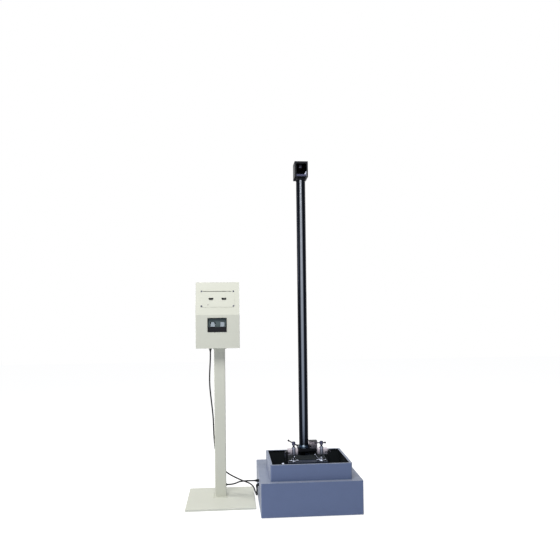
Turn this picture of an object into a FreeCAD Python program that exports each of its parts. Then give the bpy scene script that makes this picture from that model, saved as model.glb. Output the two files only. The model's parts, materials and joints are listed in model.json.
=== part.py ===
import FreeCAD, Part
import math
import os

# Falling ball impact tester: a steel cabinet with a catch tray, a tall guide tube
# that carries the ball head, two screw clamps, and a control box on its own stand.
# Millimetres, +Z up. The model is laid out about the middle of the cabinet on the
# floor, and moved at the end so that the origin is the middle of the whole footprint.

# Cabinet
cabinet_width = 600.0
cabinet_depth = 600.0
deck_height = 203.0
cabinet_wall = 2.0
cabinet_corner = 7.0
floor_pan = 3.0
pad_height = 6.0
pad_radius = 24.0
pad_inset = 58.0
pad_stud = 5.0

# Tray on the deck
tray_width = 486.0
tray_depth = 412.0
tray_height = 95.0
tray_front_gap = 38.0
tray_wall = 2.0
tray_corner = 12.0
rim_width = 14.0
liner_wall = 3.0
liner_floor = 5.0
liner_gap = 0.5

# Specimen table
table_width = 248.0
table_depth = 256.0
table_front_gap = 144.0
table_thickness = 16.0
table_height = 52.0
table_edge_round = 3.0
drop_hole = 45.0
pad_sheet = 3.0
pad_sheet_margin = 6.0
pad_sheet_setback = 60.0
leg_radius = 14.0
leg_inset_x = 54.0
leg_inset_y = 30.0
leg_screw = 4.0

# Guide tube
tube_radius = 30.0
tube_wall = 3.0
tube_length = 1753.0
tube_to_tray_back = 55.0
shelf_above_rim = 6.0
shelf_thickness = 16.0
shelf_half_left = 42.0
shelf_half_right = 88.0
shelf_reach = 45.0
shelf_corner = 18.0
bracket_leg_width = 64.0
bracket_leg_depth = 38.0
bracket_leg_gap = 4.0
bracket_foot_width = 120.0
bracket_foot_depth = 84.0
bracket_foot_thickness = 12.0
bracket_rib = 14.0
ball_passage = 27.5
flange_radius = 42.0
flange_thickness = 7.0
flange_height = 20.0
flange_screw_circle = 37.5
running_gap = 0.05

# Exit sensor beside the foot of the tube
sensor_width = 53.0
sensor_depth = 50.0
sensor_height = 40.0
sensor_cover = 3.0
sensor_hug_gap = 0.3
sensor_groove_count = 6
sensor_groove = 3.0

# Clamps
clamp_inset = 38.0
clamp_setback = 26.0
frame_thickness = 12.0
frame_depth = 40.0
frame_lower_reach = 34.0
frame_corner = 7.0
jaw_gap = 41.0
block_inner_reach = 26.0
block_depth = 46.0
block_height = 37.0
block_chamfer = 3.0
spindle_radius = 7.0
spindle_travel = 10.0
spindle_head_radius = 11.0
spindle_head_height = 22.0
spindle_head_gap = 22.0
foot_span = 50.0
foot_ball = 5.5
foot_bar = 3.8
foot_hub_radius = 11.0
foot_shoulder = 11.0
foot_hub_height = 24.0
journal_radius = 5.0
lever_ring_radius = 13.0
lever_ring_height = 5.5
lever_rod = 2.8
lever_flat = 22.0
lever_reach = 40.0
lever_rise = 24.0
lever_ball = 4.6
bar_radius = 3.5
bar_length = 60.0
bar_ball = 6.0
bar_shift = 6.5
bar_tip_left = 30.0
bar_tip_right = 0.0
rest_gap = 0.3

# Head on top of the tube
head_width = 86.0
head_depth = 105.0
head_height = 100.0
head_front_reach = 50.0
head_wall = 2.5
head_side_return = 10.0
head_top_return = 13.0
head_bottom_return = 4.0
head_floor = 3.0
collar_radius = 36.0
collar_height = 16.0
lip_height = 14.0
lip_sheet = 2.0
cheek_width = 27.0
cheek_height = 48.0
magnet_radius = 22.0
magnet_height = 34.0
magnet_wall = 3.0
core_radius = 8.0
ball_radius = 25.4
knob_radius = 8.5
knob_length = 12.0
knob_stem = 2.5

# Small pale clip on the front rim
clip_from_middle = 166.0
clip_width = 12.0
clip_height = 9.0
clip_sheet = 1.5

# Stand
stand_offset = 535.0
stand_plate_width = 430.0
stand_plate_depth = 460.0
stand_plate_thickness = 12.0
stand_plate_back = 112.0
stand_plate_corner = 6.0
post_width = 72.0
post_depth = 50.0
post_wall = 2.5
post_corner = 5.0
post_shift_x = 4.0
post_setback = 44.0
post_length = 954.0
post_flange_width = 90.0
post_flange_depth = 90.0
post_flange_thickness = 6.0

# Control box
box_width = 278.0
box_depth = 200.0
box_lower_height = 212.0
box_upper_height = 212.0
box_lean = 72.0
box_wall = 2.0
box_shift_x = 12.0
box_front_reach = 116.0
panel_half_width = 109.0
panel_half_height = 58.0
panel_middle = 110.0
panel_sheet = 1.5
panel_open_half_width = 92.0
panel_screw_inset = 7.5
panel_screw_radius = 5.6
slot_half_width = 90.0
slot_height = 3.6
socket_spacing = 82.0
socket_top_width = 33.0
socket_bottom_width = 25.0
socket_height = 13.0
socket_proud = 2.5
lamp_radius = 3.2
lamp_x = 60.0
lamp_drop = 41.0
bay_half_width = 61.0
bay_height = 90.0
bay_bottom = 103.0
bay_depth = 38.0
bay_wall = 2.0
bay_shift = 3.0
bay_ledge = 32.0
bay_plate_depth = 14.0
switch_height = 29.0
paddle_bottom_width = 32.0
paddle_top_width = 18.0
rocker_width = 25.0
paddle_x = 27.5
rocker_x = 33.5
switch_thickness = 9.0
switch_gap = 0.6
cover_sheet = 2.0
board_width = 190.0
board_height = 150.0
board_sheet = 1.6
standoff = 14.0
relay_left = 20.0
relay_width = 28.0
relay_depth = 16.0
relay_height = 12.0
relay_level = 80.0
capacitor_x = 60.0
capacitor_radius = 8.0
capacitor_length = 26.0
capacitor_level = 40.0
board_level = 60.0
board_hole_inset = 8.0
board_post = 3.5
transformer_from_side = 29.0
transformer_width = 70.0
transformer_depth = 52.0
transformer_height = 58.0
transformer_setback = 40.0

# Glands, sockets and cables
cable_radius = 4.5
gland_height = 24.0
gland_radius = 9.0
gland_x = 63.0
gland_setback = 112.0
grommet_height = 81.0
grommet_radius = 8.0
grommet_reach = 7.0
socket_y = -60.0
socket_upper_z = 159.0
socket_lower_z = 134.0
plug_radius = 9.0
plug_length = 28.0
elbow_drop = 20.0
elbow_reach = 13.0

# Levels and places that follow from the sizes above
rim_z = deck_height + tray_height
tray_front = -cabinet_depth / 2 + tray_front_gap
tray_back = tray_front + tray_depth
mat_z = deck_height + liner_floor
table_z = mat_z + table_height
table_top = table_z + table_thickness
rest_z = table_top
pad_z = table_top + pad_sheet
table_front = tray_front + table_front_gap
table_back = table_front + table_depth
tube_y = tray_back - tube_to_tray_back
shelf_z = rim_z + shelf_above_rim
foot_z = shelf_z + shelf_thickness
tube_top = foot_z + tube_length
head_z = tube_top - head_floor
head_top = head_z + head_height
head_front = tube_y - head_front_reach
head_back = head_front + head_depth
tube_bore = tube_radius - tube_wall
clamp_y = table_front + clamp_setback
block_z = max(rest_z + jaw_gap, rest_z + foot_hub_height + spindle_travel + 1.5)
block_top = block_z + block_height
plate_x = -stand_offset
plate_y = stand_plate_back
post_x = plate_x - post_shift_x
post_y = plate_y + post_setback
post_top = stand_plate_thickness + post_length
box_z = post_top + post_flange_thickness
box_x = plate_x - box_shift_x
box_front = post_y - box_front_reach
box_back = box_front + box_depth
box_break = box_z + box_lower_height
box_top = box_break + box_upper_height
slope_length = math.hypot(box_lean, box_upper_height)
slope_angle = math.degrees(math.atan2(box_lean, box_upper_height))

# The signal cable's route: from the gland under the box, behind the post, across to
# the cabinet and up into its elbow plug. The points are chosen by hand.
gland_mouth = (box_x - gland_x + 12.0, box_front + gland_setback, box_z - gland_height)
elbow_mouth = (-cabinet_width / 2 - elbow_reach, socket_y, socket_lower_z - elbow_drop)
signal_route = [
    (-598.0, 152.0, 948.0),
    (-598.0, 152.0, 905.0),
    (-602.0, 155.0, 845.0),
    (-605.0, 160.0, 786.0),
    (-605.0, 164.0, 727.0),
    (-600.0, 169.0, 668.0),
    (-594.0, 175.0, 610.0),
    (-588.0, 182.0, 552.0),
    (-584.0, 190.0, 494.0),
    (-583.0, 197.0, 436.0),
    (-581.0, 202.0, 379.0),
    (-577.0, 204.0, 323.0),
    (-569.0, 205.0, 270.0),
    (-554.0, 205.0, 221.0),
    (-531.0, 204.0, 178.0),
    (-500.0, 202.0, 147.0),
    (-465.0, 198.0, 126.0),
    (-431.0, 191.0, 110.0),
    (-400.0, 180.0, 98.0),
    (-371.0, 165.0, 91.0),
    (-347.0, 148.0, 84.0),
    (-331.0, 125.0, 75.0),
    (-324.0, 98.0, 67.0),
    (-321.0, 69.0, 62.0),
    (-318.0, 39.0, 59.0),
    (-315.0, 9.0, 57.0),
    (-313.0, -20.0, 59.0),
    (-313.0, -46.0, 69.0),
    (-313.0, -60.0, 90.0),
    (-313.0, -60.0, 114.0),
]
# The power cable's route: out of the post's side and into the upper socket's plug.
power_route = [
    (-496.0, 156.0, 81.0),
    (-474.0, 156.0, 81.0),
    (-452.0, 148.0, 87.0),
    (-435.0, 131.0, 97.0),
    (-427.0, 108.0, 107.0),
    (-421.0, 86.0, 115.0),
    (-416.0, 64.0, 122.5),
    (-409.0, 42.0, 129.0),
    (-403.5, 21.0, 135.5),
    (-396.0, 0.0, 142.0),
    (-390.0, -21.0, 148.0),
    (-379.0, -40.0, 154.0),
    (-363.0, -54.0, 158.0),
    (-345.0, -60.0, 159.0),
    (-328.0, -60.0, 159.0),
]

V = FreeCAD.Vector
X = V(1, 0, 0)
Y = V(0, 1, 0)
Z = V(0, 0, 1)
made = {}


def block(x0, x1, y0, y1, z0, z1):
    return Part.makeBox(x1 - x0, y1 - y0, z1 - z0, V(x0, y0, z0))


def rod(radius, start, end):
    start = V(*start)
    end = V(*end)
    return Part.makeCylinder(radius, (end - start).Length, start, end - start)


def ball(radius, centre):
    return Part.makeSphere(radius, V(*centre))


def loop(points):
    corners = [V(*p) for p in points]
    return Part.Face(Part.makePolygon(corners + corners[:1]))


def plan(points, z0, z1):
    return loop([(x, y, z0) for x, y in points]).extrude(V(0, 0, z1 - z0))


def side(points, x0, x1):
    return loop([(x0, y, z) for y, z in points]).extrude(V(x1 - x0, 0, 0))


def front(points, y0, y1):
    return loop([(x, y0, z) for x, z in points]).extrude(V(0, y1 - y0, 0))


def turned(points, x, y):
    section = loop([(x + r, y, z) for r, z in points])
    return section.revolve(V(x, y, 0), Z, 360)


def soften(shape, direction, radius, wanted=None):
    chosen = []
    for edge in shape.Edges:
        if len(edge.Vertexes) != 2 or not isinstance(edge.Curve, Part.Line):
            continue
        along = edge.tangentAt(edge.FirstParameter)
        if abs(along.dot(direction)) < 0.999:
            continue
        if wanted is None or wanted(edge.CenterOfMass):
            chosen.append(edge)
    return shape.makeFillet(radius, chosen)


def cut(shape, *tools):
    for tool in tools:
        shape = shape.cut(tool)
    return shape.removeSplitter()


def join(shape, *others):
    for other in others:
        shape = shape.fuse(other)
    return shape.removeSplitter()


def group(*shapes):
    return Part.makeCompound(list(shapes))


def rounded_block(x0, x1, y0, y1, z0, z1, radius):
    return soften(block(x0, x1, y0, y1, z0, z1), Z, radius)


def hex_head(radius, height, base, axis):
    points = []
    for step in range(6):
        turn = math.radians(60 * step)
        points.append(V(radius * math.cos(turn), radius * math.sin(turn), 0))
    head = Part.Face(Part.makePolygon(points + points[:1])).extrude(V(0, 0, height))
    head.Placement = FreeCAD.Placement(V(*base), FreeCAD.Rotation(Z, axis))
    return head


def dumbbell(half, bar, knob):
    neck = math.sqrt(knob ** 2 - bar ** 2)
    left = Part.Arc(V(-half - knob, 0, 0), V(-half, 0, knob), V(-half + neck, 0, bar)).toShape()
    middle = Part.LineSegment(V(-half + neck, 0, bar), V(half - neck, 0, bar)).toShape()
    right = Part.Arc(V(half - neck, 0, bar), V(half, 0, knob), V(half + knob, 0, 0)).toShape()
    axis = Part.LineSegment(V(half + knob, 0, 0), V(-half - knob, 0, 0)).toShape()
    section = Part.Face(Part.Wire([left, middle, right, axis]))
    return section.revolve(V(0, 0, 0), X, 360)


def keep(name, shape):
    made[name] = shape


def cord(points, radius, name):
    corners = [V(*p) for p in points]
    edges = []
    here = corners[0]
    radii = []
    length = 0.0
    for before, corner, after in zip(corners, corners[1:], corners[2:]):
        arriving = (corner - before).normalize()
        leaving = (after - corner).normalize()
        turn = arriving.getAngle(leaving)
        reach = 0.45 * min((corner - before).Length, (after - corner).Length)
        bend = reach / math.tan(turn / 2)
        inward = (leaving - arriving).normalize()
        first = corner - arriving * reach
        middle = corner + inward * (bend / math.cos(turn / 2) - bend)
        last = corner + leaving * reach
        edges.append(Part.LineSegment(here, first).toShape())
        edges.append(Part.Arc(first, middle, last).toShape())
        here = last
        radii.append(bend)
    edges.append(Part.LineSegment(here, corners[-1]).toShape())
    path = Part.Wire(edges)
    length = path.Length
    heading = corners[1] - corners[0]
    section = Part.Wire(Part.makeCircle(radius, corners[0], heading))
    tube = path.makePipeShell([section], True, False)
    if tube.Volume < 0:
        tube.reverse()
    ideal = math.pi * radius ** 2 * length
    print(name, "length", round(length, 1), "radii", [round(r) for r in radii])
    print(name, "volume over section times length", round(tube.Volume / ideal, 4))
    return tube


def make_cabinet():
    half_x = cabinet_width / 2
    half_y = cabinet_depth / 2
    outer = rounded_block(-half_x, half_x, -half_y, half_y, pad_height, deck_height, cabinet_corner)
    inner = rounded_block(
        -half_x + cabinet_wall, half_x - cabinet_wall,
        -half_y + cabinet_wall, half_y - cabinet_wall,
        pad_height, deck_height - cabinet_wall, cabinet_corner - cabinet_wall)
    shell = cut(outer, inner)
    for z in (socket_upper_z, socket_lower_z):
        hole = rod(plug_radius * 0.6, (-half_x - 1, socket_y, z), (-half_x + 5, socket_y, z))
        shell = cut(shell, hole)
    keep("base_cabinet", shell)
    edge = cabinet_wall + running_gap
    pan = rounded_block(
        -half_x + edge, half_x - edge, -half_y + edge, half_y - edge,
        pad_height, pad_height + floor_pan, cabinet_corner - cabinet_wall)
    pads = []
    for sx in (-1, 1):
        for sy in (-1, 1):
            x = sx * (half_x - pad_inset)
            y = sy * (half_y - pad_inset)
            foot = turned([(0, 0), (pad_radius - 2, 0), (pad_radius, 2), (pad_radius, pad_height),
                           (0, pad_height)], x, y)
            stud = rod(pad_stud, (x, y, pad_height), (x, y, pad_height + floor_pan + 5))
            pads.append(join(foot, stud))
            pan = cut(pan, rod(pad_stud + running_gap, (x, y, 0), (x, y, pad_height + floor_pan)))
    keep("base_floor_pan", pan)
    keep("levelling_pads", group(*pads))


def make_tray():
    half = tray_width / 2
    body = rounded_block(-half, half, tray_front, tray_back, deck_height, rim_z, tray_corner)
    well = rounded_block(
        -half + tray_wall, half - tray_wall, tray_front + tray_wall, tray_back - tray_wall,
        deck_height, rim_z - tray_wall, tray_corner - tray_wall)
    mouth = rounded_block(
        -half + rim_width, half - rim_width, tray_front + rim_width, tray_back - rim_width,
        rim_z - tray_wall, rim_z, 4.0)
    keep("tray_shell", cut(body, well, mouth))
    inset = tray_wall + liner_gap
    top = rim_z - tray_wall - liner_gap
    outside = rounded_block(
        -half + inset, half - inset, tray_front + inset, tray_back - inset,
        deck_height, top, tray_corner - inset)
    deep = inset + liner_wall
    inside = rounded_block(
        -half + deep, half - deep, tray_front + deep, tray_back - deep,
        mat_z, top, tray_corner - deep)
    keep("tray_liner", cut(outside, inside))


def make_clip():
    x = -clip_from_middle
    low = rim_z
    lip = tray_front + rim_width
    points = [
        (lip - clip_height, low), (lip - clip_height, low + clip_sheet), (lip - 2, low + clip_sheet),
        (lip + clip_sheet, low + clip_height), (lip + clip_sheet + 2.4, low + clip_height - 0.8),
        (lip + 1.2, low)]
    keep("rim_clip", side(points, x - clip_width / 2, x + clip_width / 2))


def make_table():
    half = table_width / 2
    plate = rounded_block(-half, half, table_front, table_back, table_z, table_top, 6.0)
    plate = cut(plate, rod(drop_hole, (0, tube_y, table_z), (0, tube_y, table_top)))
    top_edges = [e for e in plate.Edges if abs(e.BoundBox.ZMin - table_top) < 0.01
                 and abs(e.BoundBox.ZMax - table_top) < 0.01]
    plate = plate.makeChamfer(table_edge_round / 2, top_edges)
    legs = []
    for x in (-half + leg_inset_x, half - leg_inset_x):
        for y in (table_front + leg_inset_y, table_back - leg_inset_y):
            leg = rod(leg_radius, (x, y, mat_z), (x, y, table_z))
            screw = rod(leg_screw, (x, y, table_z), (x, y, table_top - 4))
            legs.append(join(leg, screw))
            plate = cut(plate, rod(leg_screw + running_gap, (x, y, table_z), (x, y, table_top - 3)))
    keep("specimen_table", plate)
    keep("table_legs", group(*legs))
    edge = pad_sheet_margin
    sheet = rounded_block(
        -half + edge, half - edge, table_front + pad_sheet_setback, table_back - edge, table_top, pad_z, 4.0)
    keep("table_pad", cut(sheet, rod(drop_hole, (0, tube_y, table_top), (0, tube_y, pad_z))))


def make_bracket():
    y0 = tube_y - shelf_reach
    y1 = tray_back + bracket_leg_gap
    y2 = y1 + bracket_leg_depth
    half = bracket_leg_width / 2
    shelf = plan([(-shelf_half_left, y0), (shelf_half_right, y0), (shelf_half_right, tube_y + 34),
                  (half, y1), (half, y2), (-half, y2), (-half, y1), (-shelf_half_left, tube_y + 34)],
                 shelf_z, foot_z)
    shelf = soften(shelf, Z, shelf_corner, lambda p: p.y < y0 + 1)
    shelf = soften(shelf, Z, 8.0, lambda p: abs(p.y - tube_y - 34) < 1)
    leg = block(-half, half, y1, y2, deck_height, foot_z)
    foot_half = bracket_foot_width / 2
    foot = rounded_block(-foot_half, foot_half, y1, y1 + bracket_foot_depth, deck_height,
                         deck_height + bracket_foot_thickness, 10.0)
    rib_top = shelf_z - 6
    rib = side([(y2, deck_height), (y1 + bracket_foot_depth - 8, deck_height),
                (y1 + bracket_foot_depth - 8, deck_height + bracket_foot_thickness),
                (y2 + 10, rib_top), (y2, rib_top)], -bracket_rib / 2, bracket_rib / 2)
    body = join(shelf, leg, foot, rib)
    body = cut(body, rod(ball_passage, (0, tube_y, shelf_z), (0, tube_y, foot_z)))
    bolts = []
    for sx in (-1, 1):
        for y in (y2 + 12, y1 + bracket_foot_depth - 14):
            x = sx * (foot_half - 18)
            top = deck_height + bracket_foot_thickness
            body = cut(body, rod(4.5, (x, y, deck_height), (x, y, top)))
            washer = rod(8.0, (x, y, top), (x, y, top + 1.6))
            head = hex_head(7.0, 5.5, (x, y, top + 1.6), Z)
            shank = rod(4.0, (x, y, deck_height), (x, y, top))
            bolts.append(join(shank, washer, head))
    flange_bolts = []
    for step in range(4):
        turn = math.radians(45 + 90 * step)
        x = flange_screw_circle * math.cos(turn)
        y = tube_y + flange_screw_circle * math.sin(turn)
        seat = foot_z + flange_thickness - 1
        body = cut(body, rod(2.1, (x, y, foot_z - 10), (x, y, foot_z)))
        shank = rod(2.0, (x, y, foot_z - 9), (x, y, seat))
        head = rod(3.6, (x, y, seat), (x, y, seat + 4))
        flange_bolts.append(cut(join(shank, head), hex_head(2.0, 3, (x, y, seat + 1.5), Z)))
    keep("tube_bracket", body)
    keep("bracket_bolts", group(*bolts))
    keep("flange_screws", group(*flange_bolts))


def make_tube():
    bore = tube_radius + running_gap
    start = V(flange_radius - 1, 0, foot_z + flange_thickness)
    neck_top = foot_z + flange_height
    end = V(bore + 3, 0, neck_top - 2)
    mid = V(bore + 4.6, 0, foot_z + flange_thickness + 3.4)
    edges = [
        Part.makeLine(V(bore, 0, foot_z), V(flange_radius, 0, foot_z)),
        Part.makeLine(V(flange_radius, 0, foot_z), V(flange_radius, 0, start.z - 1)),
        Part.makeLine(V(flange_radius, 0, start.z - 1), start),
        Part.Arc(start, mid, end).toShape(),
        Part.makeLine(end, V(bore + 2, 0, neck_top)),
        Part.makeLine(V(bore + 2, 0, neck_top), V(bore, 0, neck_top)),
        Part.makeLine(V(bore, 0, neck_top), V(bore, 0, foot_z))]
    flange = Part.Face(Part.Wire(edges)).revolve(V(0, 0, 0), Z, 360)
    flange.translate(V(0, tube_y, 0))
    for step in range(4):
        turn = math.radians(45 + 90 * step)
        x = flange_screw_circle * math.cos(turn)
        y = tube_y + flange_screw_circle * math.sin(turn)
        seat = foot_z + flange_thickness - 1
        flange = cut(flange, rod(2.1, (x, y, foot_z), (x, y, seat)))
        flange = cut(flange, rod(3.8, (x, y, seat), (x, y, neck_top)))
    keep("tube_flange", flange)
    outer = rod(tube_radius, (0, tube_y, foot_z), (0, tube_y, tube_top))
    inner = rod(tube_bore, (0, tube_y, foot_z), (0, tube_y, tube_top))
    keep("guide_tube", cut(outer, inner))


def make_sensor():
    x0 = tube_radius + 3
    x1 = x0 + sensor_width
    y0 = tube_y - sensor_depth / 2 + 5
    y1 = y0 + sensor_depth
    top = foot_z + sensor_height
    body = soften(block(x0, x1, y0, y1, foot_z, top), Z, 3.0, lambda p: p.x > x0 + 1)
    body = cut(body,
               rod(flange_radius + sensor_hug_gap, (0, tube_y, foot_z),
                   (0, tube_y, foot_z + flange_height + 1)),
               rod(tube_radius + sensor_hug_gap, (0, tube_y, foot_z), (0, tube_y, top)))
    pitch = (x1 - x0 - 22) / sensor_groove_count
    for step in range(sensor_groove_count):
        x = x0 + 17 + pitch * step
        body = cut(body, block(x, x + sensor_groove, y0 - 1, y0 + 1.2, foot_z + 4, top - 3))
    body = cut(body, rod(3.5, (x0 + 12, y0 - 1, foot_z + 30), (x0 + 12, y0 + 6, foot_z + 30)))
    cover = rounded_block(x0 + 1, x1 + 1, y0 - 1, y1 + 1, top, top + sensor_cover, 3.0)
    cover = cut(cover, rod(tube_radius + sensor_hug_gap, (0, tube_y, top), (0, tube_y, top + 9)))
    keep("sensor_body", body)
    keep("sensor_cover", cover)


def make_clamp(name, s, tip, lever_turn):
    axis_x = s * (table_width / 2 - clamp_inset)
    edge = s * table_width / 2
    outer = s * (table_width / 2 + frame_thickness)
    inner = s * (table_width / 2 - frame_lower_reach)
    y0 = clamp_y - frame_depth / 2
    y1 = clamp_y + frame_depth / 2
    low = table_z - frame_thickness
    high = block_top - 10
    points = [(inner, low), (outer, low), (outer, high), (edge, high), (edge, table_z), (inner, table_z)]
    frame = front(points, y0, y1)
    frame = soften(frame, Y, frame_corner, lambda p: abs(p.x - outer) < 0.5)
    frame = soften(frame, Y, 3.0, lambda p: abs(p.x - inner) < 0.5)
    block_inner = axis_x - s * block_inner_reach
    bx0 = min(block_inner, edge)
    bx1 = max(block_inner, edge)
    by0 = clamp_y - block_depth / 2
    by1 = clamp_y + block_depth / 2
    body = block(bx0, bx1, by0, by1, block_z, block_top)
    body = soften(body, Z, 5.0, lambda p: abs(p.x - block_inner) < 0.5)
    ridge = [e for e in body.Edges if e.BoundBox.ZMin > block_top - 0.01]
    body = body.makeChamfer(block_chamfer, ridge)
    body = cut(body, rod(spindle_radius + running_gap, (axis_x, clamp_y, block_z),
                         (axis_x, clamp_y, block_top)))
    bolts = []
    for y in (clamp_y - 11, clamp_y + 11):
        z = block_z + block_height / 2 - 4
        start = (edge - s * 16, y, z)
        body = cut(body, rod(3.1, (edge, y, z), (edge - s * 17, y, z)))
        frame = cut(frame, rod(3.1, (edge, y, z), (outer, y, z)))
        shank = rod(3.0, start, (outer, y, z))
        head = rod(5.0, (outer, y, z), (outer + s * 6, y, z))
        socket = hex_head(2.6, 3.5, (outer + s * 6, y, z), V(-s, 0, 0))
        bolts.append(cut(join(shank, head), socket))
    keep("clamp_frame_" + name, frame)
    keep("clamp_block_" + name, body)
    keep("clamp_bolts_" + name, group(*bolts))

    bottom = rest_z + rest_gap
    mid_z = bottom + foot_ball
    bar = dumbbell(foot_span / 2, foot_bar, foot_ball)
    bar.translate(V(axis_x, clamp_y, mid_z))
    neck = foot_hub_radius - 3
    hub = turned([(0, bottom), (foot_hub_radius, bottom), (foot_hub_radius, bottom + foot_shoulder),
                  (neck, bottom + foot_shoulder), (neck, bottom + foot_hub_height),
                  (0, bottom + foot_hub_height)], axis_x, clamp_y)
    foot = join(hub, bar)
    seat_z = bottom + 4
    foot = cut(foot, rod(journal_radius + running_gap, (axis_x, clamp_y, seat_z),
                         (axis_x, clamp_y, bottom + foot_hub_height)))
    keep("clamp_foot_" + name, foot)

    ring_z = bottom + foot_shoulder + rest_gap
    ring_top = ring_z + lever_ring_height
    eye = neck + running_gap
    ring = turned([(eye, ring_z), (lever_ring_radius, ring_z), (lever_ring_radius, ring_top - 1),
                   (lever_ring_radius - 1, ring_top), (eye, ring_top)], 0, 0)
    arm_z = (ring_z + ring_top) / 2
    knee = (lever_flat, 0, arm_z)
    tip_at = (lever_reach, 0, arm_z + lever_rise)
    start = ((eye + lever_ring_radius) / 2, 0, arm_z)
    lever = join(ring, rod(lever_rod, start, knee), ball(lever_rod, knee), rod(lever_rod, knee, tip_at),
                 ball(lever_ball, tip_at))
    lever.rotate(V(0, 0, 0), Z, lever_turn)
    lever.translate(V(axis_x, clamp_y, 0))
    keep("clamp_lever_" + name, lever)

    head_z0 = block_top + spindle_head_gap
    head_z1 = head_z0 + spindle_head_height
    thread_low = bottom + foot_hub_height + rest_gap
    screw = turned([
        (0, seat_z + rest_gap), (journal_radius, seat_z + rest_gap), (journal_radius, thread_low),
        (spindle_radius, thread_low), (spindle_radius, head_z0), (spindle_head_radius, head_z0),
        (spindle_head_radius, head_z1 - 3), (spindle_head_radius - 3, head_z1), (0, head_z1)],
        axis_x, clamp_y)
    bar_z = (head_z0 + head_z1) / 2
    lean = math.radians(tip)
    run = V(-math.cos(lean), 0, math.sin(lean))
    centre = V(axis_x, clamp_y, bar_z)
    hole = rod(bar_radius + running_gap, centre - run * 20, centre + run * 20)
    keep("clamp_screw_" + name, cut(screw, hole))
    handle = dumbbell(bar_length / 2, bar_radius, bar_ball)
    handle.rotate(V(0, 0, 0), Y, tip)
    handle.translate(centre + run * bar_shift)
    keep("clamp_handle_" + name, handle)


def make_head():
    half = head_width / 2
    shell = soften(block(-half, half, head_front, head_back, head_z, head_top), Z, 3.0)
    cavity = block(-half + head_wall, half - head_wall, head_front + head_wall, head_back - head_wall,
                   head_z, head_top - head_wall)
    window = block(-half + head_side_return, half - head_side_return, head_front - 1, head_front + 10,
                   head_z + head_bottom_return, head_top - head_top_return)
    shell = cut(shell, cavity, window)
    inset = head_wall + running_gap
    plate = block(-half + inset, half - inset, head_front + inset, head_back - inset, head_z, tube_top)
    collar = rod(collar_radius, (0, tube_y, head_z - collar_height), (0, tube_y, head_z))
    collar = collar.makeChamfer(2.0, [e for e in collar.Edges if e.BoundBox.ZMax < head_z - 1])
    plate = join(plate, collar)
    stem_z = head_z - knob_radius - 1.0
    plate = cut(plate,
                rod(tube_radius + running_gap, (0, tube_y, head_z - collar_height), (0, tube_y, tube_top)),
                rod(knob_stem + running_gap, (-collar_radius - 1, tube_y, stem_z), (0, tube_y, stem_z)))
    screws = []
    for sx in (-1, 1):
        for y in (head_front + 18, head_back - 18):
            z = head_z + head_floor / 2
            shell = cut(shell, rod(1.05, (sx * (half + 1), y, z), (sx * (half - 4), y, z)))
            plate = cut(plate, rod(1.05, (sx * half, y, z), (sx * (half - 9), y, z)))
            shank = rod(1.0, (sx * (half - 8), y, z), (sx * half, y, z))
            screws.append(join(shank, rod(2.6, (sx * half, y, z), (sx * (half + 1.8), y, z))))
    keep("head_housing", shell)
    keep("head_floor", plate)
    keep("head_screws", group(*screws))

    knob_x = -collar_radius - rest_gap
    stem = rod(knob_stem, (-tube_radius - rest_gap, tube_y, stem_z), (knob_x, tube_y, stem_z))
    grip = rod(knob_radius, (knob_x, tube_y, stem_z), (knob_x - knob_length, tube_y, stem_z))
    grip = grip.makeFillet(1.5, [e for e in grip.Edges if e.BoundBox.XMax < knob_x - 1
                                 and e.BoundBox.XMin < knob_x - knob_length + 0.1
                                 and e.BoundBox.XLength < 0.01])
    for step in range(8):
        turn = math.radians(45 * step)
        y = tube_y + (knob_radius + 1.2) * math.cos(turn)
        z = stem_z + (knob_radius + 1.2) * math.sin(turn)
        grip = cut(grip, rod(2.2, (knob_x + 1, y, z), (knob_x - knob_length - 1, y, z)))
    keep("head_knob", join(stem, grip))

    y0 = head_front + head_wall + 1.5
    lip_half = half - head_side_return - 2
    lip = side([(y0, tube_top), (y0, tube_top + lip_height), (y0 + lip_sheet, tube_top + lip_height),
                (y0 + lip_sheet, tube_top + lip_sheet), (y0 + 12, tube_top + lip_sheet),
                (y0 + 12, tube_top)], -lip_half, lip_half)
    keep("head_lip", lip)
    wall_x = half - head_wall
    y2 = y0 + lip_sheet + 0.2
    cheek = front([(wall_x, tube_top + lip_sheet + 1), (wall_x, tube_top + cheek_height),
                   (wall_x - 2, tube_top + cheek_height),
                   (wall_x - cheek_width, tube_top + lip_sheet + 1)], y2, y2 + lip_sheet)
    flap = block(wall_x - lip_sheet, wall_x, y2, y2 + 22, tube_top + lip_sheet + 1, tube_top + cheek_height)
    keep("head_cheek", join(cheek, flap))

    ceiling = head_top - head_wall
    low = ceiling - magnet_height
    can = turned([(0, ceiling), (magnet_radius, ceiling), (magnet_radius, low),
                  (magnet_radius - magnet_wall, low), (magnet_radius - magnet_wall, ceiling - 5),
                  (core_radius, ceiling - 5), (core_radius, low), (0, low)], 0, tube_y)
    keep("magnet_can", can)
    coil = turned([(core_radius + 0.3, low + 2), (magnet_radius - magnet_wall - 0.3, low + 2),
                   (magnet_radius - magnet_wall - 0.3, ceiling - 5), (core_radius + 0.3, ceiling - 5)],
                  0, tube_y)
    keep("magnet_coil", coil)
    keep("steel_ball", ball(ball_radius, (0, tube_y, mat_z + rest_gap + ball_radius)))
    print("ball travel", round(low - rest_gap - 2 * ball_radius - mat_z - rest_gap, 2))


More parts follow.
